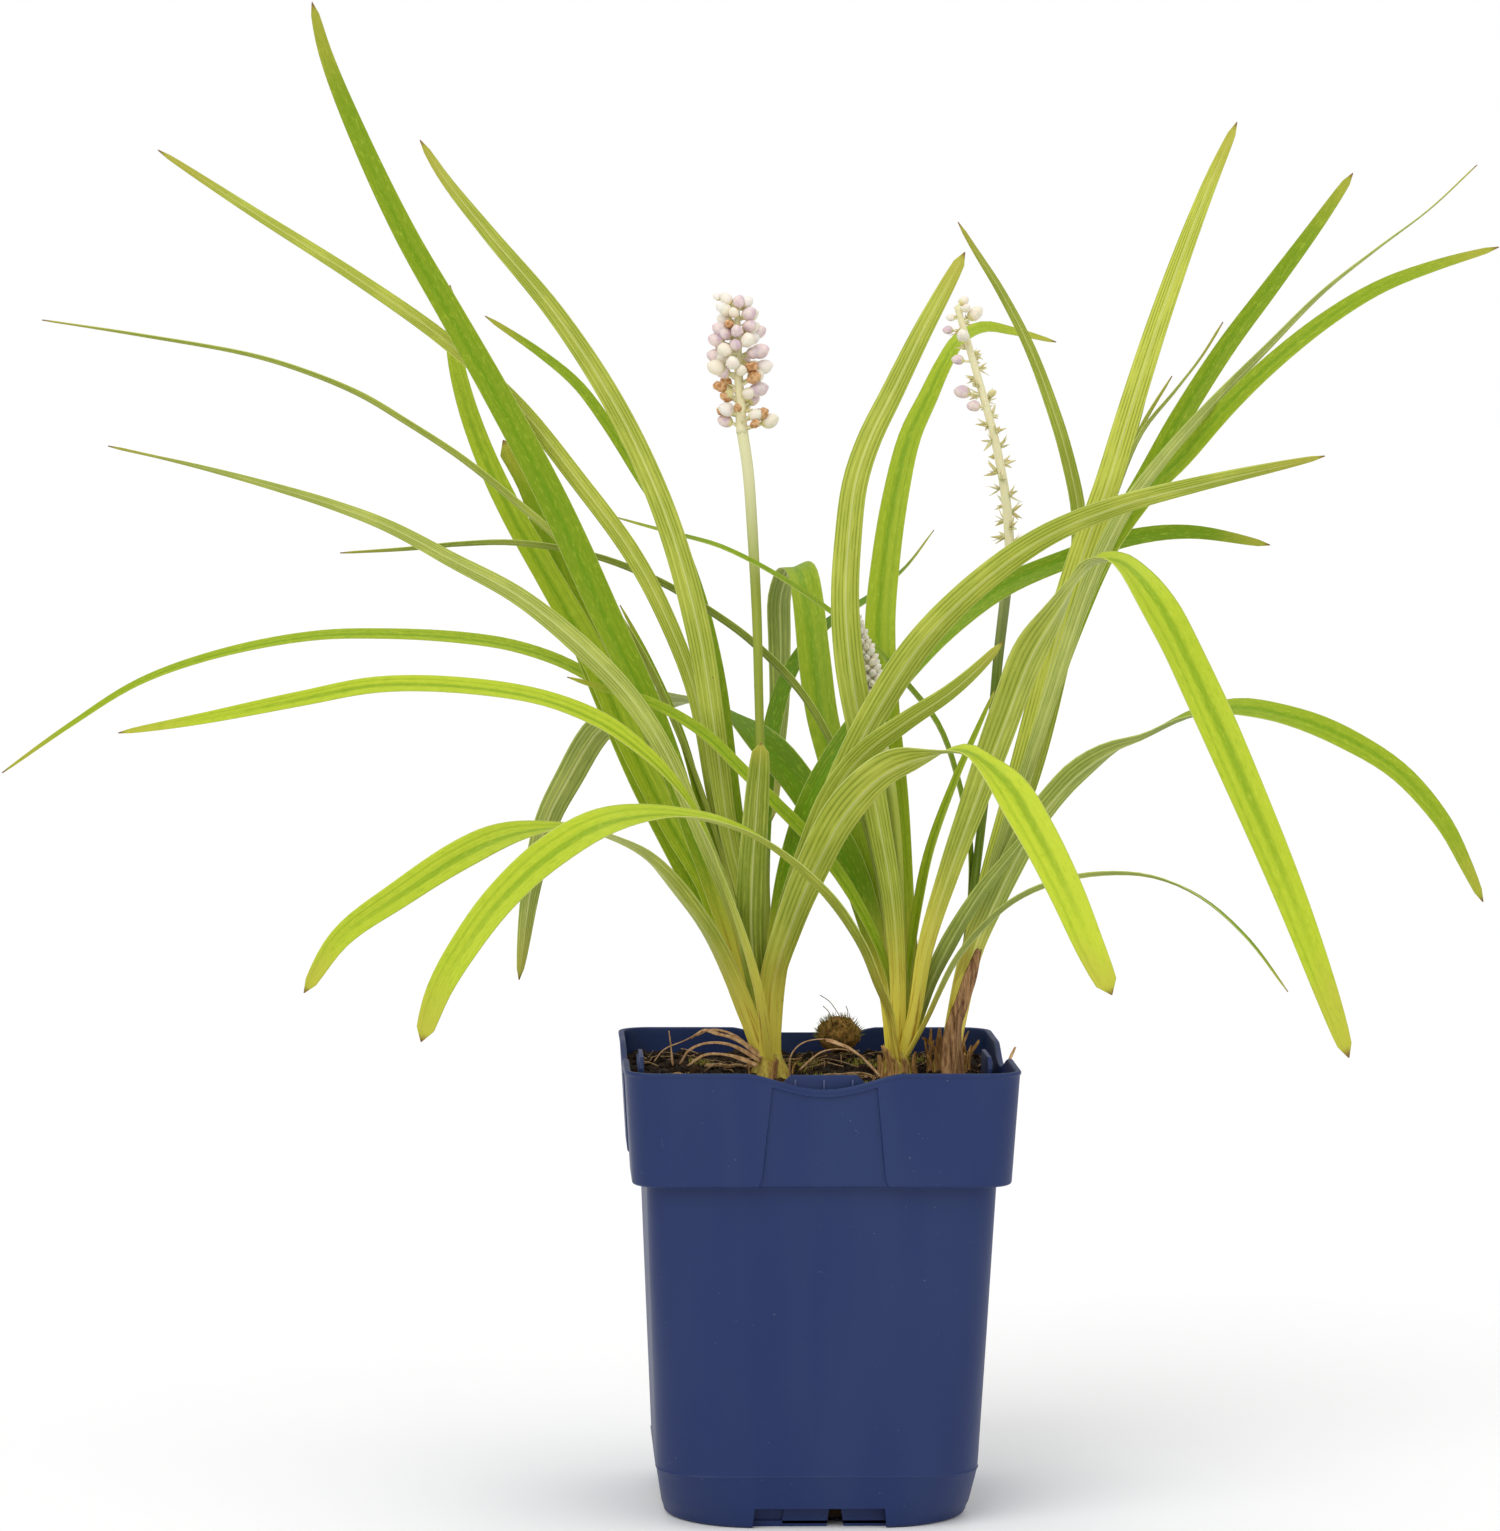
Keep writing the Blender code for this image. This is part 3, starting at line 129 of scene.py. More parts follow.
# The photograph's viewpoint. A point is read off it as (pixel, pixel, depth in mm), on the
# 1500 by 1531 picture, and depth is measured from the pot's centre, away from the viewer.
EYE = Vector((-0.085, -1.500, 0.314))
HEADING = math.radians(2.53)
PITCH = math.radians(3.96)
ROLL = math.radians(-0.33)
FOCAL_PX = 5306.0
PICTURE = (1500.0, 1531.0)
SENSOR = 36.0
FORWARD = Vector((math.sin(HEADING) * math.cos(PITCH), math.cos(HEADING) * math.cos(PITCH),
                  -math.sin(PITCH)))

# Suns: name, strength, where from and spread in degrees. AMBIENT is how much the surround lights.
SUNS = (("key", 1.18, (-0.9, -1.3, 1.5), 45), ("fill", 0.52, (1.4, -1.1, 0.9), 60),
        ("top", 0.75, (0.1, 0.3, 1.7), 50))
AMBIENT = 0.55
FLOOR_REACH = 60.0

# Blades: points across one side, the step along, and the rib under each strip
BLADE_STRIPS = 16
BLADE_STEP = 3.6 * MM
LEAST_HALF_WIDTH = 0.12 * MM
BLADE_THICK = 0.5 * MM
MARGIN_THICK = 0.22 * MM
RIB = 0.075 * MM

# Leaf colours, as albedo under this scene's light
UPPER_COOL = (0.12, 0.235, 0.003)
UPPER_WARM = (0.53, 0.63, 0.035)
UPPER_STRIPE = (0.12, 0.27, 0.001)
UPPER_FLECK = (0.62, 0.7, 0.07)
UNDER_COOL = (0.13, 0.2, 0.018)
UNDER_WARM = (0.68, 0.71, 0.1)
UNDER_GREY = (0.38, 0.44, 0.2)
UNDER_LINE = (0.13, 0.21, 0.008)
UNDER_PALE = (0.7, 0.75, 0.15)
UNDER_KEEL = (0.74, 0.77, 0.32)
MARGIN = (0.6, 0.65, 0.2)
# The sheath's pale at the foot, brightened past its own colour as painted light against the shade
# between the leaves
FOOT_PALE_AND_LIT = (0.95, 0.82, 0.12)
FOOT_RUST = (0.42, 0.17, 0.015)
TIP_YELLOW = (0.5, 0.44, 0.06)
TIP_BROWN = (0.25, 0.13, 0.04)
SPECK = (0.12, 0.07, 0.02)

# The other colours
STALK_DARK, STALK_PALE = (0.12, 0.19, 0.012), (0.5, 0.55, 0.08)
STALK_STREAK, STALK_CREAM = (0.42, 0.47, 0.09), (0.74, 0.72, 0.42)
PETAL_CREAM, PETAL_WHITE = (0.86, 0.78, 0.62), (0.88, 0.82, 0.75)
PETAL_BLUSH, PETAL_PINK = (0.82, 0.68, 0.64), (0.66, 0.5, 0.56)
PETAL_FOOT = (0.75, 0.68, 0.3)
PETAL_DEAD, PETAL_DRY = (0.4, 0.17, 0.05), (0.74, 0.45, 0.22)
BUD_GREEN, BUD_PALE = (0.58, 0.5, 0.16), (0.84, 0.78, 0.5)
# The pot's blue, in a shaded and a lit tone for painted shade and painted light in broad streaks
PLASTIC_SHADED_BLUE, PLASTIC_LIT_BLUE = (0.0075, 0.0225, 0.107), (0.0115, 0.0285, 0.112)
# The last of these is the pale blue of a painted highlight along the pot's edges
PLASTIC_SCUFF, PLASTIC_DUST, PLASTIC_HIGHLIGHT = (0.08, 0.1, 0.2), (0.3, 0.3, 0.34), (0.085, 0.11, 0.24)
EARTH_DARK, EARTH_LIGHT = (0.006, 0.003, 0.0015), (0.046, 0.023, 0.01)
EARTH_PATCH = (0.13, 0.068, 0.028)
MOSS_DARK, MOSS_TAN = (0.12, 0.06, 0.016), (0.52, 0.3, 0.085)
MOSS_GREEN, MOSS_BROWN = (0.3, 0.34, 0.05), (0.3, 0.15, 0.04)
FLOOR_WHITE = (0.93, 0.93, 0.93)
ROOT_TONES = (0.2, 0.1, 0.035), (0.62, 0.42, 0.22)
SHEATH_TONES = (0.1, 0.04, 0.013), (0.64, 0.37, 0.16)
SCRAP_TONES = (0.16, 0.07, 0.02), (0.66, 0.38, 0.13)
STRAW_TONES = (0.34, 0.17, 0.07), (0.68, 0.46, 0.25)
CROWN_TONES = (0.34, 0.2, 0.04), (0.66, 0.58, 0.1)


class Crown:
    """Where a tuft stands: its centre, the half-widths of its foot, and its blades and stalk."""

    def __init__(self, x, y, half_x, half_y, blades, stalk, stalk_tone):
        self.centre = Vector((x, y)) * MM
        self.half = Vector((half_x, half_y)) * MM
        self.blades = blades
        self.stalk = stalk
        self.stalk_tone = stalk_tone


class Blade:
    """A leaf: its widest width in mm, its centreline as seen, and how its face turns along it.

    turn holds degrees at even steps from the foot to the tip: 0 shows the upper side to the
    viewer, 180 or -180 the underside, and 90 or -90 the edge. Where folds is set, the degrees are
    counted from the face as the leaf's bend carries it, and elsewhere from the viewer. taper is low
    for a leaf that stays wide towards its tip, end is the width in mm at the tip, and foot is the
    width at the foot as a share of the widest. warm is how yellow the upper side and the underside
    are, from 0, deep green, to 1, and grey is how much of a grey bloom lies on the underside.
    """

    def __init__(self, width, turn, warm, seen, taper=0.45, end=0.8, folds=False, grey=0.0,
                 foot=0.5):
        self.width = width * MM
        self.turn = turn
        self.warm = warm
        self.seen = seen
        self.taper = taper
        self.end = end * MM
        self.folds = folds
        self.grey = grey
        self.foot = foot


LEFT_BLADES = [
    # Up and to the left, from the front one to the back one
    Blade(10.4, (150, 120, 86, 10, -10), (0.74, 0.5), [(741, 1000, -6), (713, 940, -12),
          (679, 891, -20), (648, 857, -30), (612, 837, -42), (573, 827, -54), (515, 832, -66),
          (461, 855, -80), (400, 894, -90), (340, 938, -101), (304, 993, -110)], taper=0.33,
          foot=0.62),
    Blade(7.0, (140, 50, 8), (0.8, 0.55), [(757, 988, -16), (736, 918, -21), (719, 871, -24),
          (706, 835, -27), (688, 801, -29), (665, 772, -31), (638, 747, -33), (604, 723, -35),
          (544, 699, -38), (461, 686, -42), (378, 685, -46), (300, 699, -50), (200, 719, -55),
          (118, 733, -59)]),
    Blade(6.0, (180, 180, 150), (0.5, 0.55), [(752, 985, -6), (736, 920, -9), (705, 843, -12),
          (668, 757, -14), (632, 700, -16), (585, 650, -17), (520, 597, -19), (452, 560, -22),
          (390, 527, -25), (333, 505, -28), (278, 488, -31), (200, 467, -36), (108, 446, -44)],
          taper=0.85, grey=0.5),
    Blade(8.8, (10, 0, 0), (0.26, 0.4), [(738, 965, 1), (696, 838, 3), (655, 722, 4),
          (604, 611, 4), (553, 500, 2), (500, 400, 1), (453, 317, 0), (405, 233, -2),
          (360, 139, -5), (326, 55, -9), (312, 2, -12)], taper=0.34),
    Blade(3.4, (125, 130, 120), (0.4, 0.35), [(728, 880, 6), (700, 790, 7), (650, 670, 7),
          (600, 592, 6), (561, 542, 4), (517, 503, 2), (461, 458, 1), (406, 422, 0),
          (361, 395, -1), (306, 372, -2), (250, 355, -4), (139, 335, -9), (42, 320, -14)]),
    Blade(5.3, (180, 180, 160), (0.5, 0.6), [(740, 920, 8), (714, 800, 9), (695, 694, 8),
          (664, 613, 7), (631, 552, 7), (577, 479, 7), (518, 406, 7), (446, 341, 9),
          (360, 280, 12), (250, 210, 16), (158, 150, 20)], taper=0.34),
    Blade(3.6, (30, 40, 40), (0.4, 0.4), [(752, 985, 6), (735, 910, 7), (705, 820, 8),
          (681, 735, 8), (649, 660, 8), (620, 605, 8)]),
    Blade(8.4, (0, 0, 10), (0.55, 0.5), [(735, 985, 10), (708, 889, 13), (677, 833, 17),
          (635, 750, 19), (599, 667, 20), (552, 583, 21), (511, 511, 23), (485, 456, 26),
          (465, 400, 30), (454, 350, 35), (450, 285, 42)], taper=0.34),
    Blade(10.0, (0, 0, 0), (0.34, 0.4), [(723, 940, 18), (685, 860, 24), (641, 768, 28),
          (597, 667, 30), (574, 611, 30), (550, 540, 30), (527, 483, 30), (503, 440, 31)],
          taper=0.25, end=6.0),
    Blade(4.3, (30, 35, 40), (0.5, 0.45), [(735, 950, 18), (700, 845, 24), (655, 745, 30),
          (615, 696, 34), (572, 667, 38), (517, 647, 43), (461, 638, 47), (385, 634, 52),
          (314, 636, 56), (222, 653, 61), (139, 682, 68), (70, 725, 74), (2, 773, 78)]),
    # Upright
    Blade(7.3, (180, 180, 170), (0.4, 0.5), [(752, 930, 4), (729, 833, 3), (715, 735, 0),
          (700, 639, -4), (679, 556, -7), (652, 481, -10), (611, 398, -14), (555, 313, -19),
          (489, 234, -25), (445, 179, -29), (420, 140, -32)], taper=0.36),
    Blade(5.0, (0, 10, 15), (0.3, 0.3), [(752, 950, 10), (745, 880, 13), (731, 780, 17),
          (717, 680, 22), (697, 595, 28), (668, 520, 34), (640, 475, 40), (606, 422, 44),
          (577, 384, 48), (540, 353, 53), (485, 316, 58)], taper=0.36),
    Blade(8.2, (180, 180, 180), (0.35, 0.3), [(757, 990, -8), (751, 930, -16), (752, 870, -26),
          (756, 810, -38), (761, 743, -54)], taper=0.2, foot=0.45),
    Blade(6.0, (0, -20, -75), (0.0, 0.1), [(765, 960, 8), (762, 880, 18), (764, 800, 30),
          (772, 730, 44), (790, 672, 56), (824, 627, 68), (870, 597, 80), (905, 568, 88),
          (934, 530, 94)]),
    # Up and to the right
    Blade(8.6, (-170, -165, -150), (0.4, 0.5), [(781, 960, -6), (801, 900, -10),
          (823, 825, -14), (846, 768, -17), (877, 709, -20), (922, 641, -24), (981, 582, -28),
          (1046, 536, -33), (1118, 506, -38), (1200, 484, -43), (1325, 456, -52)]),
    Blade(7.4, (-165, -165, -160), (0.4, 0.45), [(774, 975, -9), (790, 905, -15),
          (810, 850, -21), (832, 795, -27), (862, 755, -33), (905, 722, -40), (950, 692, -46),
          (979, 667, -50), (1003, 642, -53)], taper=0.37),
    Blade(12.6, (-165, -162, -158, -150, -135, -75, -15, -5, 0), (0.9, 0.6), [
          (772, 985, -12), (788, 930, -20), (811, 873, -29), (844, 812, -40), (882, 773, -50),
          (925, 754, -60), (965, 751, -69), (1000, 777, -78), (1033, 827, -86),
          (1064, 887, -93), (1090, 947, -99), (1112, 995, -103)], taper=0.22),
    Blade(8.3, (-10, -30, -20), (0.1, 0.3), [(776, 940, 2), (790, 860, 2), (813, 795, 1),
          (845, 743, 2), (886, 692, 8), (941, 634, 20), (1000, 589, 34), (1060, 562, 46),
          (1130, 538, 52), (1190, 532, 55), (1270, 545, 58)], taper=0.38),
]

MIDDLE_BLADES = [
    # Over to the left
    Blade(11.2, (110, 105, 82, 15, -5), (0.75, 0.5), [(889, 1015, -10), (877, 985, -18),
          (860, 944, -27), (820, 888, -41), (761, 839, -54), (711, 819, -63), (656, 813, -72),
          (600, 824, -82), (546, 856, -89), (501, 898, -96), (468, 941, -102),
          (439, 990, -107), (421, 1042, -111)], taper=0.24),
    Blade(4.8, (40, 40, 10), (0.45, 0.4), [(892, 990, -2), (880, 950, -3), (855, 900, -4),
          (822, 852, -5), (774, 802, -5), (739, 767, -6), (711, 739, -6), (683, 719, -7),
          (650, 702, -8), (600, 687, -9), (567, 677, -10)]),
    Blade(3.4, (125, 130, 140), (0.3, 0.2), [(889, 1000, 2), (884, 920, 6), (866, 830, 10),
          (838, 757, 13), (802, 694, 15), (753, 643, 16), (711, 612, 16), (656, 580, 15),
          (594, 556, 14), (517, 543, 12), (461, 544, 10), (406, 549, 8), (340, 553, 6)]),
    Blade(11.6, (10, 10, 12, 24, 90, 150, 172, 176, 176), (0.05, 0.38), [(888, 985, 6), (872, 930, 10),
          (850, 865, 15), (820, 815, 20), (785, 766, 25), (745, 727, 31), (710, 704, 38),
          (672, 700, 46), (632, 708, 55), (598, 731, 62), (569, 778, 69), (547, 822, 75),
          (531, 889, 80), (519, 980, 85)], grey=0.6),
    Blade(9.6, (0, 0, 0), (0.36, 0.2), [(893, 985, 10), (880, 930, 14), (862, 870, 20),
          (845, 810, 26), (833, 761, 33), (822, 715, 40), (814, 655, 50), (808, 600, 61),
          (803, 574, 69), (796, 566, 78), (788, 571, 87), (780, 597, 94), (780, 640, 99),
          (780, 700, 103), (775, 765, 106), (771, 822, 109)], taper=0.25, folds=True, grey=0.5),
    # Upright
    Blade(8.4, (180, 180, 180), (0.4, 0.52), [(898, 985, -4), (892, 900, -6), (878, 820, -8),
          (862, 735, -10), (849, 660, -12), (845, 600, -13), (848, 540, -14), (855, 483, -14),
          (869, 440, -14), (891, 395, -13), (922, 332, -12), (951, 278, -11),
          (965, 252, -10)], taper=0.26),
    Blade(9.0, (0, 0, -50), (0.55, 0.4), [(910, 985, 6), (904, 900, 9), (896, 800, 14),
          (885, 710, 20), (880, 630, 27), (885, 567, 34), (895, 500, 41), (910, 437, 49),
          (928, 398, 55), (944, 364, 61), (960, 339, 68), (984, 327, 76), (1012, 331, 83),
          (1056, 342, 93)]),
    Blade(5.4, (-60, -60, -60), (0.55, 0.5), [(906, 1000, 4), (917, 915, 5), (930, 851, 4),
          (955, 781, 0), (975, 735, -4), (995, 690, -9)]),
    # Over to the right
    Blade(12.5, (-168, -168, -164, -146, -90, -28, -8, -5, -5), (0.74, 0.5), [
          (914, 1018, -8), (926, 947, -12), (950, 870, -17), (977, 795, -23), (1005, 718, -31),
          (1028, 658, -39), (1053, 614, -47), (1076, 578, -55), (1097, 560, -64), (1123, 563, -74),
          (1157, 605, -84), (1204, 697, -93), (1250, 800, -102), (1291, 898, -108),
          (1325, 989, -113), (1349, 1058, -117)], taper=0.3, foot=0.3),
    Blade(5.0, (-120, -105, -70), (0.25, 0.4), [(927, 1020, -9), (940, 992, -13), (956, 961, -18),
          (977, 934, -24), (995, 916, -29), (1014, 901, -34), (1042, 887, -38),
          (1090, 875, -44), (1150, 876, -50), (1199, 896, -55), (1247, 938, -59), (1288, 992, -62)],
          grey=0.5),
    Blade(5.4, (-150, -155, -158), (0.3, 0.2), [(918, 1020, -2), (931, 980, -6), (946, 949, -9),
          (964, 917, -12), (984, 887, -14), (1002, 865, -16), (1020, 843, -16), (1038, 820, -15)],
          grey=0.4),
]

RIGHT_BLADES = [
    # Leaning to the left at the top
    Blade(5.0, (180, 180, 180), (0.4, 0.38), [(962, 1000, 6), (983, 930, 9), (1008, 850, 12),
          (1036, 765, 14), (1057, 680, 15), (1073, 600, 15), (1079, 520, 14), (1067, 456, 12),
          (1049, 398, 9), (1028, 344, 6), (1000, 290, 2), (975, 250, -3), (958, 222, -6)],
          taper=0.4),
    Blade(4.2, (60, 70, 60), (0.3, 0.3), [(962, 990, 12), (968, 920, 17), (970, 850, 21),
          (958, 782, 22), (938, 725, 21), (905, 682, 19), (870, 642, 14), (831, 612, 6),
          (780, 577, 1), (722, 547, -2), (681, 535, 2), (650, 527, 9), (615, 517, 16)]),
    # Up and to the right, from the front one to the back one
    Blade(9.0, (-150, -155, -158, -140, -92, -50, -28, -22, -20), (0.4, 0.3), [(958, 1015, -2),
          (973, 950, -6), (995, 900, -8), (1016, 857, -10), (1035, 822, -12), (1055, 796, -14),
          (1077, 773, -16), (1110, 750, -18), (1140, 738, -19), (1190, 715, -20), (1240, 708, -20),
          (1300, 720, -19), (1350, 741, -18), (1400, 773, -17), (1443, 822, -15),
          (1466, 865, -12), (1483, 902, -10)], taper=0.36, grey=0.4, foot=0.7),
    Blade(5.2, (-170, -155, -110), (0.3, 0.55), [(957, 1000, -4), (975, 930, -6),
          (1003, 840, -8), (1032, 755, -9), (1060, 670, -9), (1087, 590, -8), (1119, 520, -6),
          (1158, 465, -3), (1211, 405, 2), (1268, 347, 8), (1323, 292, 14), (1377, 249, 20),
          (1430, 209, 26), (1477, 165, 33)], taper=1.0, grey=0.8),
    Blade(8.4, (180, 180, 180), (0.5, 0.8), [(962, 985, 0), (986, 890, 1), (1014, 795, 2),
          (1038, 710, 3), (1059, 632, 3), (1082, 556, 2), (1106, 489, 0), (1127, 420, -2),
          (1149, 350, -5), (1168, 294, -7), (1188, 239, -9), (1210, 183, -12),
          (1237, 122, -15)], taper=0.35),
    Blade(7.4, (-45, -30, -20), (0.35, 0.4), [(970, 975, 4), (993, 885, 6), (1019, 790, 7),
          (1045, 705, 8), (1068, 635, 8), (1099, 562, 7), (1147, 493, 5), (1183, 457, 4),
          (1228, 406, 1), (1270, 365, -2), (1326, 320, -5), (1380, 287, -9),
          (1434, 266, -13), (1499, 247, -18)], taper=0.38),
    Blade(3.6, (-150, -150, -140), (0.3, 0.5), [(970, 960, 14), (998, 870, 17),
          (1031, 760, 19), (1060, 665, 20), (1088, 580, 20), (1116, 492, 20), (1142, 432, 21),
          (1175, 391, 22), (1202, 356, 23), (1223, 322, 24)], taper=0.8, grey=0.5),
    Blade(7.4, (-40, -10, -5), (0.26, 0.4), [(966, 985, 10), (990, 890, 15), (1016, 790, 20),
          (1045, 700, 24), (1073, 622, 27), (1104, 552, 29), (1142, 488, 30), (1180, 419, 32),
          (1226, 347, 35), (1270, 288, 37), (1313, 230, 40), (1353, 173, 44)], taper=0.3),
    Blade(3.6, (-150, -150, -140), (0.3, 0.4), [(970, 950, 20), (1002, 850, 25),
          (1031, 750, 29), (1060, 655, 31), (1088, 565, 32), (1119, 482, 32), (1141, 428, 32),
          (1172, 376, 32)]),
    Blade(6.0, (-30, -20, 0), (0.15, 0.3), [(966, 960, 24), (996, 860, 30), (1030, 740, 36),
          (1063, 640, 40), (1094, 540, 42), (1118, 472, 43), (1137, 419, 44),
          (1150, 374, 44)]),
]

# Flower stalks, from the crown to the foot of the head
LEFT_STALK = [(768, 1000, 4), (766, 900, 7), (762, 800, 8), (759, 700, 8), (757, 620, 8),
              (753, 540, 8), (748, 470, 8), (742, 430, 8)]
MIDDLE_STALK = [(904, 1000, 0), (901, 940, -1), (898, 850, -2), (891, 787, -3), (882, 740, -4),
                (878, 702, -4)]
RIGHT_STALK = [(960, 1000, 8), (970, 920, 15), (981, 830, 23), (991, 740, 31), (998, 660, 38),
               (1005, 600, 43), (1010, 552, 46)]

CROWNS = {
    "left": Crown(-12.5, -4.0, 6.0, 5.5, LEFT_BLADES, LEFT_STALK, 0.55),
    "middle": Crown(23.5, -5.0, 5.2, 5.2, MIDDLE_BLADES, MIDDLE_STALK, 0.8),
    "right": Crown(38.5, 2.0, 5.5, 5.5, RIGHT_BLADES, RIGHT_STALK, 0.0),
}

# Flower heads: the axis from the top of the stalk to the tip of the head
LEFT_HEAD = [(742, 433, 8), (739, 385, 8), (738, 340, 8), (737, 300, 8)]
MIDDLE_HEAD = [(878, 704, -4), (871, 675, -4), (863, 645, -4), (855, 615, -4)]
RIGHT_HEAD = [(1010, 551, 46), (1006, 500, 47), (995, 440, 48), (978, 378, 49), (957, 306, 50)]


class Look:
    """A procedural material, with short calls that add a node and give back its output."""

    def __init__(self, name, roughness, specular=0.5, **fixed):
        self.material = bpy.data.materials.new(name)
        self.material.use_nodes = True
        self.nodes = self.material.node_tree.nodes
        self.links = self.material.node_tree.links
        self.shader = self.nodes["Principled BSDF"]
        self.shader.inputs["Roughness"].default_value = roughness
        self.shader.inputs["Specular IOR Level"].default_value = specular
        for label, value in fixed.items():
            self.shader.inputs[label.replace("_", " ")].default_value = value

    def feed(self, socket, value):
        if isinstance(value, bpy.types.NodeSocket):
            self.links.new(value, socket)
        elif isinstance(value, tuple) and socket.type == "RGBA":
            socket.default_value = (*value, 1.0)
        else:
            socket.default_value = value

    def colour(self, value):
        self.feed(self.shader.inputs["Base Color"], value)

    def math(self, operation, *values, clamp=False):
        node = self.nodes.new("ShaderNodeMath")
        node.operation = operation
        node.use_clamp = clamp
        for socket, value in zip(node.inputs, values):
            self.feed(socket, value)
        return node.outputs[0]

    def mix(self, share, low, high):
        node = self.nodes.new("ShaderNodeMix")
        node.data_type = "RGBA"
        for number, value in ((0, share), (6, low), (7, high)):
            self.feed(node.inputs[number], value)
        return node.outputs[2]

    def tint(self, skin, share, most, tone):
        """Lays tone over skin, by at most that much where share is 1."""
        return self.mix(self.math("MULTIPLY", share, most), skin, tone)

    def band(self, value, low, high, start=0.0, end=1.0):
        """Eases from start to end as value goes from low to high."""
        node = self.nodes.new("ShaderNodeMapRange")
        node.interpolation_type = "SMOOTHSTEP"
        for socket, number in zip(node.inputs, (value, low, high, start, end)):
            self.feed(socket, number)
        return node.outputs[0]

    def carried(self, name):
        """What each point of the mesh carries under that name, as a vector."""
        node = self.nodes.new("ShaderNodeAttribute")
        node.attribute_name = name
        return node.outputs["Vector"]

    def read(self, name):
        """The same as three numbers."""
        parts = self.nodes.new("ShaderNodeSeparateXYZ")
        self.links.new(self.carried(name), parts.inputs[0])
        return parts.outputs

    def place(self):
        return self.nodes.new("ShaderNodeTexCoord").outputs["Object"]

    def noise(self, place, scale, detail=3.0, roughness=0.55):
        """Noise with about that many lumps to the metre, along each axis or along all three."""
        mapping = self.nodes.new("ShaderNodeMapping")
        self.links.new(place, mapping.inputs["Vector"])
        mapping.inputs["Scale"].default_value = scale if isinstance(scale, tuple) else (scale,) * 3
        node = self.nodes.new("ShaderNodeTexNoise")
        self.links.new(mapping.outputs[0], node.inputs["Vector"])
        node.inputs["Scale"].default_value = 1.0
        node.inputs["Detail"].default_value = detail
        node.inputs["Roughness"].default_value = roughness
        return node.outputs["Fac"]

    def bump(self, height, distance, strength):
        node = self.nodes.new("ShaderNodeBump")
        node.inputs["Distance"].default_value = distance
        node.inputs["Strength"].default_value = strength
        self.links.new(height, node.inputs["Height"])
        normal = self.shader.inputs["Normal"]
        if normal.links:
            self.links.new(normal.links[0].from_socket, node.inputs["Normal"])
        self.links.new(node.outputs[0], normal)


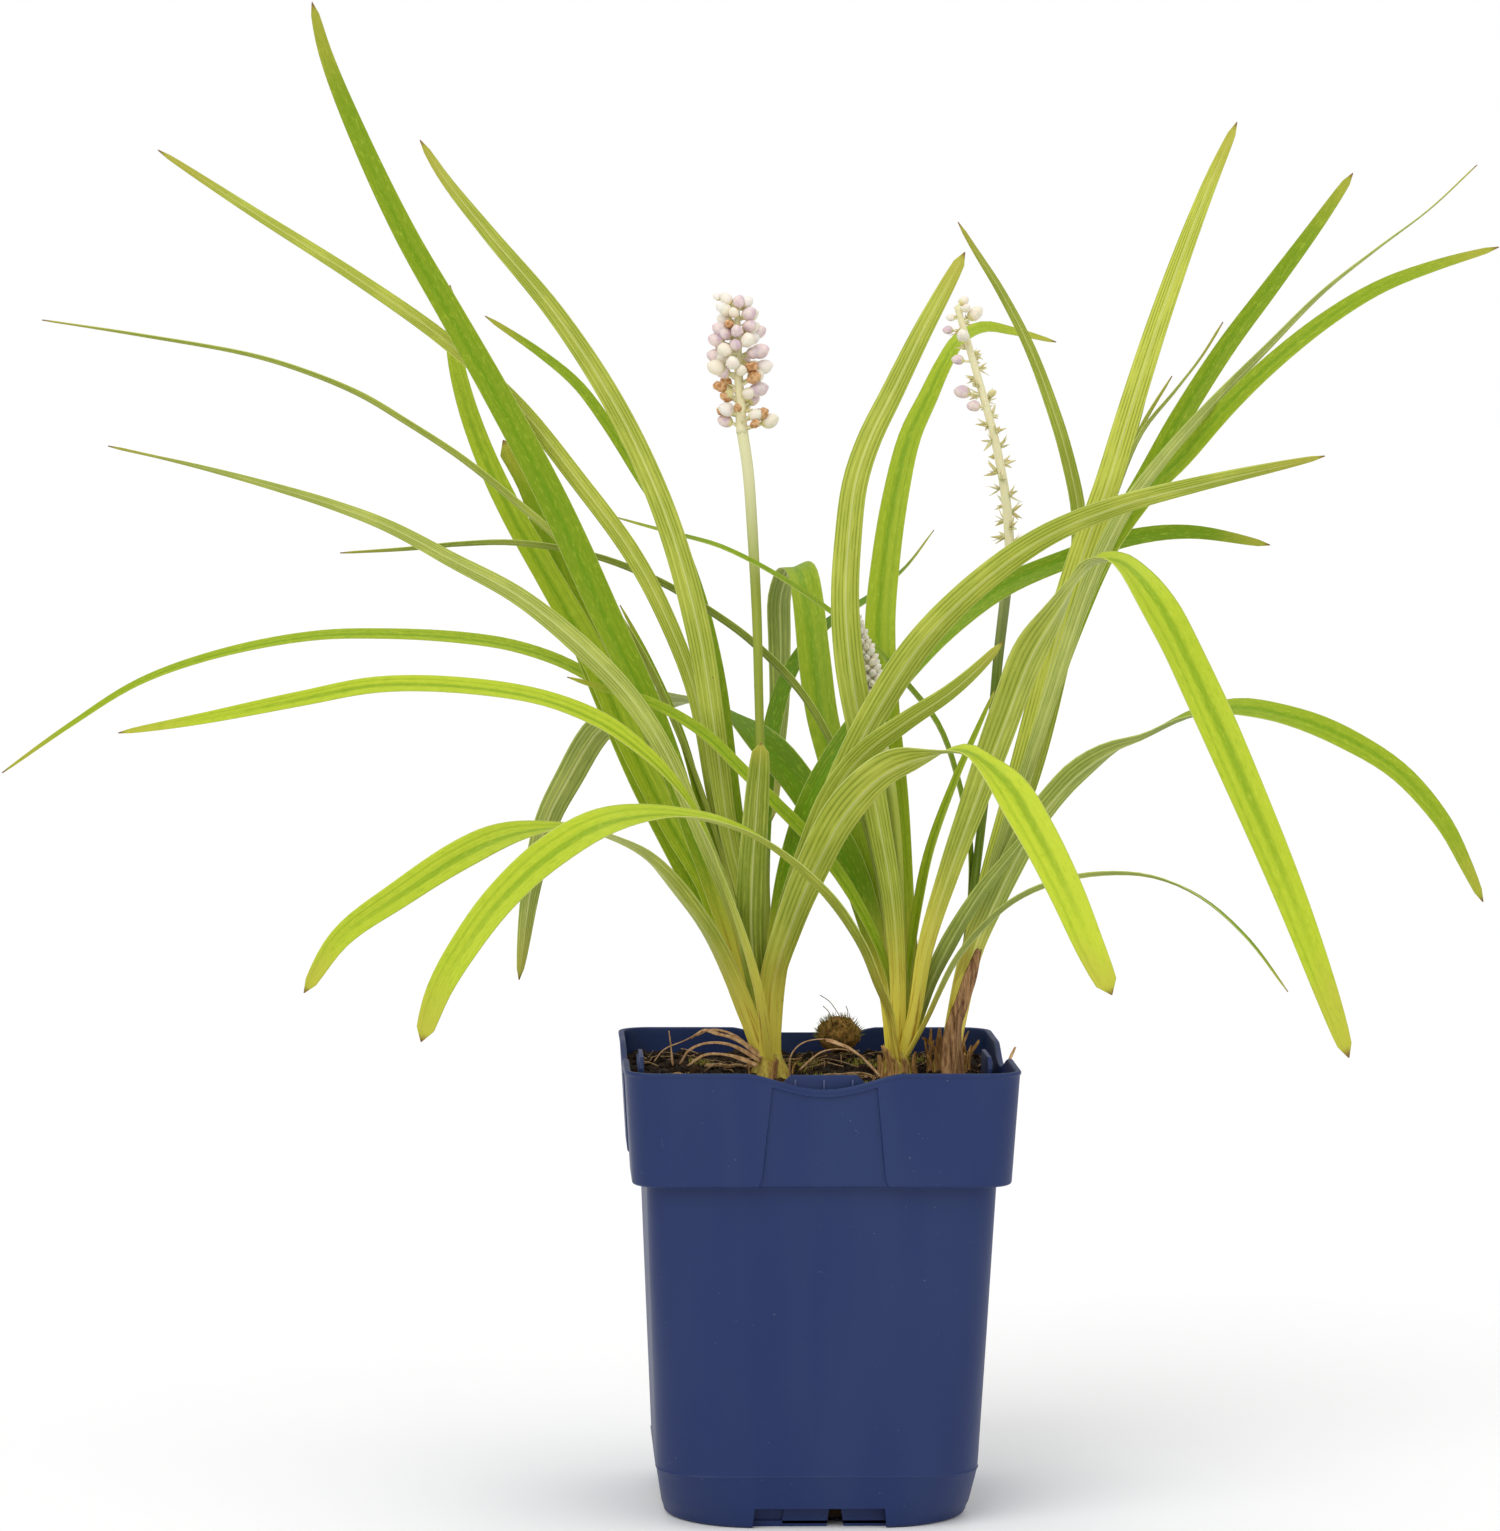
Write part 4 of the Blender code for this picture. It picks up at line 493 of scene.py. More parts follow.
def leaf_look():
    """Leaf: mark is (across, share of the length, 1 on the upper side), tone is (warmth of the
    upper side, of the underside, grey bloom), and place runs across and along the leaf."""
    look = Look("leaf", roughness=0.42, specular=0.14)
    across, share, upper = look.read("mark")
    warm_upper, warm_under, grey = look.read("tone")
    place = look.carried("place")

    wander = look.math("MULTIPLY_ADD", look.noise(place, (120, 14, 60)), 0.5, -0.25)
    drift = look.noise(place, (60, 9, 40), detail=2.0)
    mottle = look.noise(place, (1500, 330, 200), detail=4.0, roughness=0.7)
    blotch = look.noise(place, (260, 60, 90))
    u = look.math("ADD", across, wander)
    edge = look.math("ABSOLUTE", across)

    # Upper side: a deep green stripe beside the midrib, and a fine pale mottle
    warm = look.math("ADD", warm_upper, look.math("MULTIPLY_ADD", drift, 0.5, -0.25), clamp=True)
    top = look.mix(warm, UPPER_COOL, UPPER_WARM)
    beside = look.math("ABSOLUTE", look.math("ADD", u, 0.12))
    stripe = look.math("MULTIPLY", look.band(beside, 0.34, 0.06), look.band(share, 0.98, 0.75))
    top = look.tint(top, stripe, 0.55, UPPER_STRIPE)
    second = look.band(look.math("ABSOLUTE", look.math("SUBTRACT", u, 0.5)), 0.16, 0.02)
    top = look.tint(top, second, 0.25, UPPER_STRIPE)
    fleck = look.band(mottle, 0.5, 0.72)
    top = look.tint(top, fleck, 0.32, UPPER_FLECK)
    shade = look.band(mottle, 0.47, 0.3)
    top = look.tint(top, shade, 0.3, UPPER_STRIPE)

    # Underside: fine parallel veins, dark and pale, over olive
    warm = look.math("ADD", warm_under, look.math("MULTIPLY_ADD", drift, 0.4, -0.2), clamp=True)
    low = look.mix(warm, UNDER_COOL, UNDER_WARM)
    low = look.tint(low, grey, 0.5, UNDER_GREY)
    coarse = look.math("SINE", look.math("MULTIPLY", across, math.pi * BLADE_STRIPS / 2))
    fine = look.math("SINE", look.math("MULTIPLY", u, math.pi * BLADE_STRIPS * 0.31))
    lines = look.math("MULTIPLY", look.band(coarse, 0.1, -0.95), look.band(blotch, 0.3, 0.55))
    low = look.tint(low, lines, 0.62, UNDER_LINE)
    pale = look.math("MULTIPLY", look.band(fine, 0.2, 0.95), look.band(blotch, 0.65, 0.35))
    low = look.tint(low, pale, 0.4, UNDER_PALE)
    low = look.tint(low, fleck, 0.12, UNDER_PALE)
    keel = look.band(look.math("ABSOLUTE", look.math("ADD", across, 0.04)), 0.09, 0.03)
    low = look.tint(low, keel, 0.55, UNDER_KEEL)

    skin = look.mix(look.band(upper, 0.35, 0.65), low, top)
    skin = look.tint(skin, look.band(edge, 0.93, 0.995), 0.7, MARGIN)
    # The foot pales to a sheath, painted brighter than its own colour as painted light against the shade
    # between the leaves, and rusts in streaks; the tip yellows and ends brown
    streak = look.noise(place, (900, 45, 300), detail=4.0)
    foot = look.band(share, 0.22, 0.03)
    skin = look.tint(skin, foot, 0.92, FOOT_PALE_AND_LIT)
    rust = look.math("MULTIPLY", look.band(streak, 0.52, 0.66), look.band(share, 0.2, 0.03))
    skin = look.tint(skin, rust, 0.75, FOOT_RUST)
    tip = look.band(look.math("ADD", share, look.math("MULTIPLY_ADD", blotch, 0.1, -0.05)), 0.9, 1.0)
    skin = look.tint(skin, tip, 0.6, TIP_YELLOW)
    skin = look.mix(look.band(look.math("ADD", share, look.math("MULTIPLY", mottle, 0.012)),
                              0.996, 1.006), skin, TIP_BROWN)
    spots = look.band(look.noise(place, (900, 500, 500), detail=1.0), 0.78, 0.82)
    skin = look.tint(skin, spots, 0.6, SPECK)
    look.colour(skin)
    look.bump(coarse, 0.05 * MM, 0.5)
    look.bump(mottle, 0.06 * MM, 0.6)
    return look.material


def stalk_look():
    """Flower stalk: mark holds the share of the length, and tone how pale it is."""
    look = Look("stalk", roughness=0.4, specular=0.2)
    _, share, _ = look.read("mark")
    pale, _, _ = look.read("tone")
    place = look.carried("place")
    streak = look.noise(place, (700, 25, 300))
    green = look.mix(pale, STALK_DARK, STALK_PALE)
    lit = look.math("MULTIPLY", look.band(streak, 0.42, 0.7), 0.4)
    green = look.mix(lit, green, STALK_STREAK)
    cream = look.math("MULTIPLY", look.band(share, 0.72, 0.97), look.band(pale, -0.4, 0.5))
    look.colour(look.mix(cream, green, STALK_CREAM))
    look.bump(streak, 0.1 * MM, 0.5)
    return look.material


def petal_look():
    """Buds: mark is (kind, share of the length, draw): 0 white, 1 pink, 2 withered, 3 green."""
    look = Look("petal", roughness=0.5, specular=0.35, Subsurface_Weight=0.12,
                Subsurface_Scale=0.002)
    kind, share, draw = look.read("mark")
    place = look.place()
    white = look.mix(draw, PETAL_CREAM, PETAL_WHITE)
    blush = look.noise(place, 420)
    pink = look.mix(look.band(blush, 0.4, 0.65), PETAL_BLUSH, PETAL_PINK)
    petal = look.mix(look.band(kind, 0.2, 0.9), white, pink)
    petal = look.mix(look.band(share, 0.3, 0.05), petal, PETAL_FOOT)
    crumple = look.noise(place, 900, detail=4.0)
    dead = look.mix(look.band(crumple, 0.35, 0.62), PETAL_DEAD, PETAL_DRY)
    petal = look.mix(look.band(kind, 1.2, 1.8), petal, dead)
    green = look.mix(draw, BUD_GREEN, BUD_PALE)
    look.colour(look.mix(look.band(kind, 2.3, 2.8), petal, green))
    look.bump(crumple, 0.25 * MM, 0.35)
    return look.material


def plastic_look():
    """Blue plastic: mark's first number is how pale an edge is painted, a painted highlight."""
    look = Look("pot_plastic", roughness=0.45, specular=0.32)
    edge_highlight, _, _ = look.read("mark")
    place = look.place()
    grain = look.noise(place, 2600, detail=2.0)
    broad = look.noise(place, (45, 45, 9), detail=2.0)
    # Broad vertical streaks of painted light and painted shade over the blue, standing for the wall's
    # waviness
    tone = look.mix(look.band(broad, 0.35, 0.65), PLASTIC_SHADED_BLUE, PLASTIC_LIT_BLUE)
    scuff = look.band(look.noise(place, (520, 520, 150), detail=6.0, roughness=0.75), 0.66, 0.74)
    tone = look.tint(tone, scuff, 0.25, PLASTIC_SCUFF)
    dust = look.band(look.noise(place, 1500, detail=1.0), 0.79, 0.82)
    tone = look.tint(tone, dust, 0.5, PLASTIC_DUST)
    # Pale edges on the rim, the seam lip and the tab ribs: a painted highlight
    tone = look.tint(tone, edge_highlight, 0.8, PLASTIC_HIGHLIGHT)
    look.colour(tone)
    rough = look.math("MULTIPLY_ADD", look.noise(place, (180, 180, 60)), 0.14, 0.4)
    look.feed(look.shader.inputs["Roughness"], rough)
    look.bump(broad, 1.6 * MM, 0.16)
    look.bump(grain, 0.05 * MM, 0.35)
    return look.material


def earth_look():
    """Dark crumbs with paler brown patches."""
    look = Look("potting_soil", roughness=0.9, specular=0.25)
    place = look.place()
    crumb = look.noise(place, 700, detail=6.0, roughness=0.7)
    patch = look.noise(place, 110)
    earth = look.mix(look.band(crumb, 0.38, 0.68), EARTH_DARK, EARTH_LIGHT)
    earth = look.tint(earth, look.band(patch, 0.5, 0.7), 0.35, EARTH_PATCH)
    look.colour(earth)
    look.bump(crumb, 1.2 * MM, 0.9)
    return look.material


def fibre_look(name, dark, light, bump=0.3):
    """Dry plant matter: mark's last number darkens it."""
    look = Look(name, roughness=0.75, specular=0.2)
    _, _, draw = look.read("mark")
    place = look.place()
    thread = look.noise(place, (900, 900, 140), detail=5.0, roughness=0.7)
    skin = look.mix(look.band(thread, 0.3, 0.7), dark, light)
    look.colour(look.tint(skin, draw, 0.5, dark))
    look.bump(thread, bump * MM, 0.8)
    return look.material


def moss_look():
    """Brown mat that greens along its shoots: mark is (not read, share of the length, draw)."""
    look = Look("moss", roughness=0.85, specular=0.15)
    place = look.place()
    tuft = look.noise(place, 420, detail=5.0, roughness=0.7)
    _, share, draw = look.read("mark")
    green = look.mix(look.band(tuft, 0.35, 0.65), MOSS_DARK, MOSS_TAN)
    green = look.mix(look.band(share, 0.15, 0.8), green, MOSS_GREEN)
    look.colour(look.tint(green, draw, 0.5, MOSS_BROWN))
    look.bump(tuft, 0.8 * MM, 0.8)
    return look.material


class Shape:
    """Points and faces gathered for one mesh. Each point carries what its material reads."""

    def __init__(self):
        self.points = []
        self.faces = []
        self.marks = []
        self.tones = []
        self.places = []

    def add(self, point, mark=(0, 0, 0), tone=(0, 0, 0), place=None):
        self.points.append(point)
        self.marks.append(mark)
        self.tones.append(tone)
        self.places.append(place or point)
        return len(self.points) - 1

    def loft(self, rings):
        """Joins rings of point numbers, wound anticlockwise seen from the last, and caps both."""
        count = len(rings[0])
        for low, high in zip(rings, rings[1:]):
            for k in range(count):
                after = (k + 1) % count
                self.faces.append((low[k], low[after], high[after], high[k]))
        self.faces.append(tuple(reversed(rings[0])))
        self.faces.append(tuple(rings[-1]))

    def tube(self, curve, radii, sides, mark, tone=(0, 0, 0), ridges=0.0):
        """A round strand. mark gives what its points carry at a share of its length, and ridges is
        the height of its five ridges as a share of its radius."""
        rings, run = [], 0.0
        for i, (point, (tangent, side), radius) in enumerate(zip(curve, carried_frames(curve),
                                                                 radii)):
            share = i / (len(curve) - 1)
            run += (point - curve[max(i - 1, 0)]).length
            across = tangent.cross(side)
            ring = []
            for a in circle(sides):
                reach = radius * (1.0 + ridges * math.cos(5 * a))
                spot = point + (side * math.cos(a) + across * math.sin(a)) * reach
                ring.append(self.add(spot, mark(share), tone, (radius * a, run, 0)))
            rings.append(ring)
        self.loft(rings)

    def mesh(self, name):
        """The points and faces as a mesh whose faces look outward."""
        mesh = bpy.data.meshes.new(name)
        mesh.from_pydata([tuple(p) for p in self.points], [], self.faces)
        bm = bmesh.new()
        bm.from_mesh(mesh)
        bmesh.ops.recalc_face_normals(bm, faces=bm.faces)
        bm.to_mesh(mesh)
        bm.free()
        return mesh

    def piece(self, name, look, replaced=(), smooth=True):
        """The finished object, riding on the frame."""
        mesh = self.mesh(name)
        for label, rows in (("mark", self.marks), ("tone", self.tones), ("place", self.places)):
            layer = mesh.attributes.new(label, "FLOAT_VECTOR", "POINT")
            layer.data.foreach_set("vector", [n for row in rows for n in row])
        if smooth:
            mesh.shade_smooth()
        mesh.materials.append(look)
        obj = linked(name, mesh)
        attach(obj, "root")
        if replaced:
            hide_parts(*replaced)
        return obj


def linked(name, data):
    """A new object in the scene."""
    obj = bpy.data.objects.new(name, data)
    bpy.context.scene.collection.objects.link(obj)
    return obj


def circle(count):
    """Angles at even steps round a circle."""
    return [2 * math.pi * k / count for k in range(count)]


def eased(share):
    share = min(max(share, 0.0), 1.0)
    return share * share * (3 - 2 * share)


def seen_at(px, py, depth_mm):
    """The point behind a pixel of the photograph at that depth."""
    right = Vector((math.cos(HEADING), -math.sin(HEADING), 0.0))
    up = right.cross(FORWARD)
    across, rise = px - PICTURE[0] / 2, PICTURE[1] / 2 - py
    u = across * math.cos(ROLL) + rise * math.sin(ROLL)
    v = rise * math.cos(ROLL) - across * math.sin(ROLL)
    sight = FORWARD * FOCAL_PX + right * u + up * v
    return EYE + sight * ((depth_mm * MM - EYE.y) / sight.y)


def smooth_curve(points, step, least=6):
    """Points about a step apart on a centripetal Catmull-Rom curve through the given ones."""
    ends = [points[0] * 2 - points[1], *points, points[-1] * 2 - points[-2]]
    fine = []
    for p0, p1, p2, p3 in zip(ends, ends[1:], ends[2:], ends[3:]):
        t1 = (p1 - p0).length ** 0.5
        t2 = t1 + (p2 - p1).length ** 0.5
        t3 = t2 + (p3 - p2).length ** 0.5
        for k in range(12):
            t = t1 + (t2 - t1) * k / 12
            a1 = p0.lerp(p1, t / t1)
            a2 = p1.lerp(p2, (t - t1) / (t2 - t1))
            a3 = p2.lerp(p3, (t - t2) / (t3 - t2))
            fine.append(a1.lerp(a2, t / t2).lerp(a2.lerp(a3, (t - t1) / (t3 - t1)),
                                                 (t - t1) / (t2 - t1)))
    fine.append(points[-1])
    runs = [0.0]
    for a, b in zip(fine, fine[1:]):
        runs.append(runs[-1] + (b - a).length)
    count = max(least, round(runs[-1] / step))
    curve, k = [], 0
    for i in range(count + 1):
        want = runs[-1] * i / count
        while k < len(runs) - 2 and runs[k + 1] < want:
            k += 1
        share = (want - runs[k]) / (runs[k + 1] - runs[k])
        curve.append(fine[k].lerp(fine[k + 1], share))
    return curve


def along(curve):
    """The direction of travel at each point of a curve."""
    return [(curve[min(i + 1, len(curve) - 1)] - curve[max(i - 1, 0)]).normalized()
            for i in range(len(curve))]


def carried_frames(curve):
    """(tangent, side) at each point: the side is carried along untwisted."""
    frames = []
    last = side = None
    for tangent in along(curve):
        if last is None:
            side = tangent.orthogonal().normalized()
        else:
            side = last.rotation_difference(tangent) @ side
        side = (side - tangent * side.dot(tangent)).normalized()
        frames.append((tangent, side))
        last = tangent
    return frames


def soil_height(x, y):
    """The soil's surface: nearly level, mounded behind the middle, and lumpy."""
    away = (Vector((x, y)) - SOIL_MOUND_AT).length
    mound = SOIL_MOUND * math.exp(-((away / SOIL_MOUND_SPREAD) ** 2))
    lumps = noise.noise(Vector((x, y, 0.0)) / SOIL_LUMP) * SOIL_ROUGHNESS
    crumbs = noise.noise(Vector((x, y, 5.0 * MM)) / (SOIL_LUMP * 0.35)) * SOIL_ROUGHNESS * 0.5
    return SOIL_LEVEL + mound + lumps + crumbs


def crown_levels(crown):
    """Heights of the crown's top and of its foot in the soil."""
    ground = soil_height(*crown.centre)
    return ground + CROWN_RISE, ground - CROWN_SINK


def crown_heart(crown):
    """Where the leaves and the stalk grow from, inside the crown."""
    top, _ = crown_levels(crown)
    return Vector((*crown.centre, top - HEART_DEPTH))


def blade_width(blade, share):
    """The blade widens from its sheath to its middle and narrows to the tip."""
    grown = blade.foot + (1 - blade.foot) * eased(share / 0.5)
    narrowed = min(1.0, (1.0 - share) / 0.53) ** blade.taper
    return max(blade.end * eased((1 - share) * 90), blade.width * grown * narrowed)


def turn_at(turn, share):
    """Degrees of turn, eased from each of the given values to the next."""
    spans = len(turn) - 1
    k = min(int(share * spans), spans - 1)
    return turn[k] + (turn[k + 1] - turn[k]) * eased(share * spans - k)


def add_blade(shape, root, blade, number):
    """An arched ribbon with a keel, smooth above and ribbed below, thin at its margins."""
    curve = smooth_curve([root, *(seen_at(*p) for p in blade.seen)], BLADE_STEP)
    tone = (*blade.warm, blade.grey)
    rings, run = [], 0.0
    last = facing = None
    for i, (point, tangent) in enumerate(zip(curve, along(curve))):
        share = i / (len(curve) - 1)
        run += (point - curve[max(i - 1, 0)]).length
        if blade.folds and last:
            facing = last.rotation_difference(tangent) @ facing
        else:
            to_eye = EYE - point
            facing = (to_eye - tangent * to_eye.dot(tangent)).normalized()
        last = tangent
        upper = Quaternion(tangent, math.radians(turn_at(blade.turn, share))) @ facing
        side = tangent.cross(upper)
        half = max(blade_width(blade, share) / 2, LEAST_HALF_WIDTH)
        keel = half * (0.42 - 0.26 * share)
        flutter = 0.05 * half * noise.noise(Vector((run / (22 * MM), number * 3.7, 0.0)))
        top, low = [], []
        for k in range(BLADE_STRIPS + 1):
            u = k / BLADE_STRIPS * 2 - 1
            rise = keel * (math.sqrt(u * u + 0.03) - 0.17 - 0.42) + flutter * u
            thick = MARGIN_THICK + (BLADE_THICK - MARGIN_THICK) * (1 - u * u) * min(1, half / (2 * MM))
            rib = RIB * min(1, half / (3 * MM)) * (1 if k % 2 else -1) * (1 - u ** 4)
            spot = point + side * half * u
            place = (u * half, run, number * 0.05)
            top.append(shape.add(spot + upper * (rise + thick / 2 - 0.3 * rib), (u, share, 1), tone,
                                 place))
            low.append(shape.add(spot + upper * (rise - thick / 2 - rib), (u, share, 0), tone,
                                 place))
        rings.append(low + top[::-1])
    shape.loft(rings)


def make_leaves(name, crown, look):
    shape = Shape()
    root = crown_heart(crown)
    for number, blade in enumerate(crown.blades):
        lean = (seen_at(*blade.seen[0]) - root).normalized()
        foot = root + Vector((lean.x, lean.y, 0)) * crown.half.x * 0.5
        add_blade(shape, foot, blade, number)
    shape.piece(f"leaves_{name}", look, [f"tuft_{name}"])


def make_stalk(name, crown, look):
    curve = smooth_curve([crown_heart(crown), *(seen_at(*p) for p in crown.stalk)], 3 * MM)
    last = len(curve) - 1
    radii = [STALK_RADIUS * (1.0 + 0.3 * eased(i / last * 2 - 1)) for i in range(last + 1)]
    shape = Shape()
    shape.tube(curve, radii, STALK_SIDES, lambda share: (0, share, 0), (crown.stalk_tone, 0, 0),
               ridges=0.05)
    shape.piece(f"stalk_{name}", look, [f"tuft_{name}"])


def make_crown(name, crown, look):
    """The tuft's foot in the soil."""
    shape = Shape()
    top, low = crown_levels(crown)
    rings = []
    for step in range(13):
        share = step / 12
        swell = (0.75 + 0.25 * eased(share / 0.35)) * (1 - 0.5 * eased((share - 0.62) / 0.38))
        ring = []
        for a in circle(CROWN_SIDES):
            ridge = 1 + 0.05 * math.sin(7 * a) + 0.04 * noise.noise(Vector((3 * math.cos(a),
                                                                          3 * math.sin(a), share)))
            spot = Vector((crown.centre.x + crown.half.x * swell * ridge * math.cos(a),
                           crown.centre.y + crown.half.y * swell * ridge * math.sin(a),
                           low + (top - low) * share))
            ring.append(shape.add(spot, (0, share, 0.3)))
        rings.append(ring)
    shape.loft(rings)
    shape.piece(f"crown_{name}", look, [f"tuft_{name}"])


def rim_edge(x):
    """Height of the rim over a side, with the shallow dip for a label."""
    return POT_HEIGHT - DIP_DEPTH * math.cos(math.pi / 2 * min(1.0, abs(x) / DIP_HALF)) ** 1.4


def recess_edge(z):
    """Half-width of the sunk label panel: wider towards its foot, where it flares."""
    foot = COLLAR_FOOT_HEIGHT - 1.0 * MM
    bend = foot + RECESS_BEND
    if z < bend:
        drop = min(1.0, (bend - z) / RECESS_BEND)
        return RECESS_FOOT_HALF + RECESS_FLARE * (1 - math.sqrt(1 - drop * drop))
    top = POT_HEIGHT - DIP_DEPTH - LIP_BEAD
    return RECESS_FOOT_HALF + (RECESS_TOP_HALF - RECESS_FOOT_HALF) * (z - bend) / (top - bend)


def sunk(x, z):
    """0 on the collar's face and 1 in the label panel, with a steep rounded step between."""
    side = eased((recess_edge(z) - abs(x)) / RECESS_STEP + 0.5)
    return side * eased((rim_edge(x) - LIP_BEAD - z) / RECESS_STEP + 0.5)


def collar_half(z):
    share = (z - COLLAR_FOOT_HEIGHT) / (POT_HEIGHT - COLLAR_FOOT_HEIGHT)
    return COLLAR_FOOT_HALF + (RIM_HALF - COLLAR_FOOT_HALF) * share


class Row:
    """One level of the pot's skin. lift is how far it follows the dip in the rim, and out is how
    far it stands off the collar's face; a row of the body gives its half-width instead. face
    marks the rows that the label panel is sunk in, and the last is how pale an edge is painted: a
    painted highlight."""

    def __init__(self, z, corner, half=None, out=0.0, lift=0.0, face=False, edge_highlight=0.0):
        self.z = z
        self.corner = corner
        self.half = half
        self.out = out
        self.lift = lift
        self.face = face
        self.edge_highlight = edge_highlight

    def point(self, x):
        """(x, distance outward, height) over the flat of a side."""
        z = self.z + self.lift * (rim_edge(x) - POT_HEIGHT)
        if self.half is not None:
            return x, self.half, z
        half = collar_half(z) + self.out
        return x, half - (RECESS_DEPTH * sunk(x, z) if self.face else 0.0), z

    def ring(self):
        """Points anticlockwise round the pot, from the left end of the front side."""
        _, reach, _ = self.point(RIM_HALF)
        flat = reach - self.corner
        edge = recess_edge(self.z) if self.half is None else 0.37 * flat
        near = 0.6 * MM
        middle = [(edge - near) * s for s in (0.0, 0.2, 0.4, 0.6, 0.8, 0.93)]
        step = [edge + near * s for s in (-1.0, -0.35, -0.18, -0.06, 0.06, 0.18, 0.35, 1.0)]
        wing = [edge + near + (flat - edge - near) * s
                for s in (0.04, 0.09, 0.14, 0.2, 0.28, 0.38, 0.5, 0.65, 0.8, 0.93, 1.0)]
        right = middle + step + wing
        columns = [-x for x in right[:0:-1]] + right
        points = []
        for turned in quarter_turns():
            for x in columns:
                across, out, z = self.point(x)
                points.append(turned @ Vector((across, -out, z)))
            for k in range(1, CORNER_STEPS):
                a = math.pi / 2 * k / CORNER_STEPS
                points.append(turned @ Vector((flat + self.corner * math.sin(a),
                                               -flat - self.corner * math.cos(a), self.z)))
        return points


def body_size(z):
    """Half-width and corner radius of the pot's body at a height."""
    levels = ((SEAM_HEIGHT, SEAM_HALF, SEAM_CORNER),
              (BODY_MID_HEIGHT, BODY_MID_HALF, BODY_MID_CORNER),
              (COLLAR_FOOT_HEIGHT, BODY_TOP_HALF, BODY_TOP_CORNER))
    for (z0, half0, corner0), (z1, half1, corner1) in zip(levels, levels[1:]):
        if z <= z1:
            share = (z - z0) / (z1 - z0)
            return half0 + (half1 - half0) * share, corner0 + (corner1 - corner0) * share
    return BODY_TOP_HALF, BODY_TOP_CORNER


def base_size(z):
    share = z / SEAM_HEIGHT
    return BASE_HALF + (SEAM_HALF - BASE_HALF) * share, BASE_CORNER + (SEAM_CORNER - BASE_CORNER) * share


def pot_rows():
    """The skin's rows from the middle of the underside, up the outside and down the inside."""
    rows = [Row(0.0, BASE_CORNER * s, half=(BASE_HALF - FOOT_ROUND) * s) for s in (0.1, 0.5, 0.85)]
    for k in range(6):
        a = math.pi / 2 * k / 5
        inset = 1 - math.sin(a)
        rows.append(Row(FOOT_ROUND * (1 - math.cos(a)), BASE_CORNER - FOOT_ROUND / 2 * inset,
                        half=BASE_HALF - FOOT_ROUND * inset))
    for z in (4.0, 6.5, 9.0, 12.0, 14.0):
        half, corner = base_size(z * MM)
        rows.append(Row(z * MM, corner, half=half))
    # The seam lip carries a painted highlight along its edge
    for rise, proud in ((-0.45, 0.0), (-0.2, 0.3), (0.0, 1.0), (0.2, 0.3), (0.45, 0.0)):
        rows.append(Row(SEAM_HEIGHT + rise * MM, SEAM_CORNER, half=SEAM_HALF + proud * SEAM_LIP,
                        edge_highlight=proud * 0.6))
    low, high = SEAM_HEIGHT + 2.5 * MM, COLLAR_FOOT_HEIGHT - 1.0 * MM
    for k in range(17):
        z = low + (high - low) * k / 16
        half, corner = body_size(z)
        rows.append(Row(z, corner, half=half))
    foot = COLLAR_FOOT_HEIGHT
    rows.append(Row(foot - 0.3 * MM, BODY_TOP_CORNER, half=BODY_TOP_HALF))
    rows.append(Row(foot, BODY_TOP_CORNER, half=BODY_TOP_HALF + 0.3 * MM))
    # Collar: a rounded foot edge, the face, the lip and the rim's rounded top
    rows.append(Row(foot, COLLAR_CORNER - 1.0 * MM, out=-1.6 * MM, face=True))
    for k in range(5):
        a = math.pi / 2 * k / 4
        inset = 1 - math.sin(a)
        rows.append(Row(foot + COLLAR_ROUND * (1 - math.cos(a)),
                        COLLAR_CORNER - COLLAR_ROUND / 2 * inset,
                        out=-COLLAR_ROUND * inset - RIM_PROUD, face=True))
    low, high = foot + COLLAR_ROUND, POT_HEIGHT - 4 * MM
    for t in (0.05, 0.1, 0.16, 0.22, 0.3, 0.45, 0.6, 0.75, 0.9):
        rows.append(Row(low + (high - low) * t, COLLAR_CORNER, out=-RIM_PROUD, lift=t, face=True))
    for drop in (4.0, 3.2, 2.7, 2.5, 2.4, 2.33, 2.27, 2.2, 2.1, 1.8, 1.4):
        rows.append(Row(POT_HEIGHT - drop * MM, COLLAR_CORNER, out=-RIM_PROUD, lift=1.0, face=True))
    # The rim's rounded top, painted paler along its edges as a painted highlight
    for drop, out in ((1.2, -0.22), (1.1, -0.1), (0.95, 0.0), (0.5, 0.0), (0.3, -0.05), (0.12, -0.18),
                      (0.03, -0.36), (0.0, -0.6), (0.0, -1.1), (0.03, -1.34), (0.12, -1.52),
                      (0.3, -1.65), (0.6, -1.7), (2.0, -1.7), (5.0, -1.7)):
        rows.append(Row(POT_HEIGHT - drop * MM, COLLAR_CORNER + min(out, 0) * MM, out=out * MM,
                        lift=1.0, edge_highlight=1.0 if drop < 0.2 else 0.5 if drop < 1.0 else 0.0))
    # Inside: down the collar, in at the step, and down to the floor
    rows.append(Row(foot + 20 * MM, COLLAR_CORNER - COLLAR_WALL, out=-COLLAR_WALL, lift=0.6))
    rows.append(Row(foot + 2.2 * MM, COLLAR_CORNER - COLLAR_WALL, out=-COLLAR_WALL))
    rows.append(Row(foot + 1.4 * MM, BODY_TOP_CORNER - WALL, half=BODY_TOP_HALF - WALL))
    for z in (70.0, 40.0, 16.0):
        half, corner = body_size(z * MM)
        rows.append(Row(z * MM, corner - WALL, half=half - WALL))
    rows.append(Row(FLOOR + 1.5 * MM, BASE_CORNER - WALL, half=BASE_HALF - WALL - 0.2 * MM))
    rows.append(Row(FLOOR, BASE_CORNER - WALL - 1.4 * MM, half=BASE_HALF - WALL - 1.6 * MM))
    rows.append(Row(FLOOR, (BASE_CORNER - WALL) * 0.4, half=(BASE_HALF - WALL) * 0.4))
    return rows


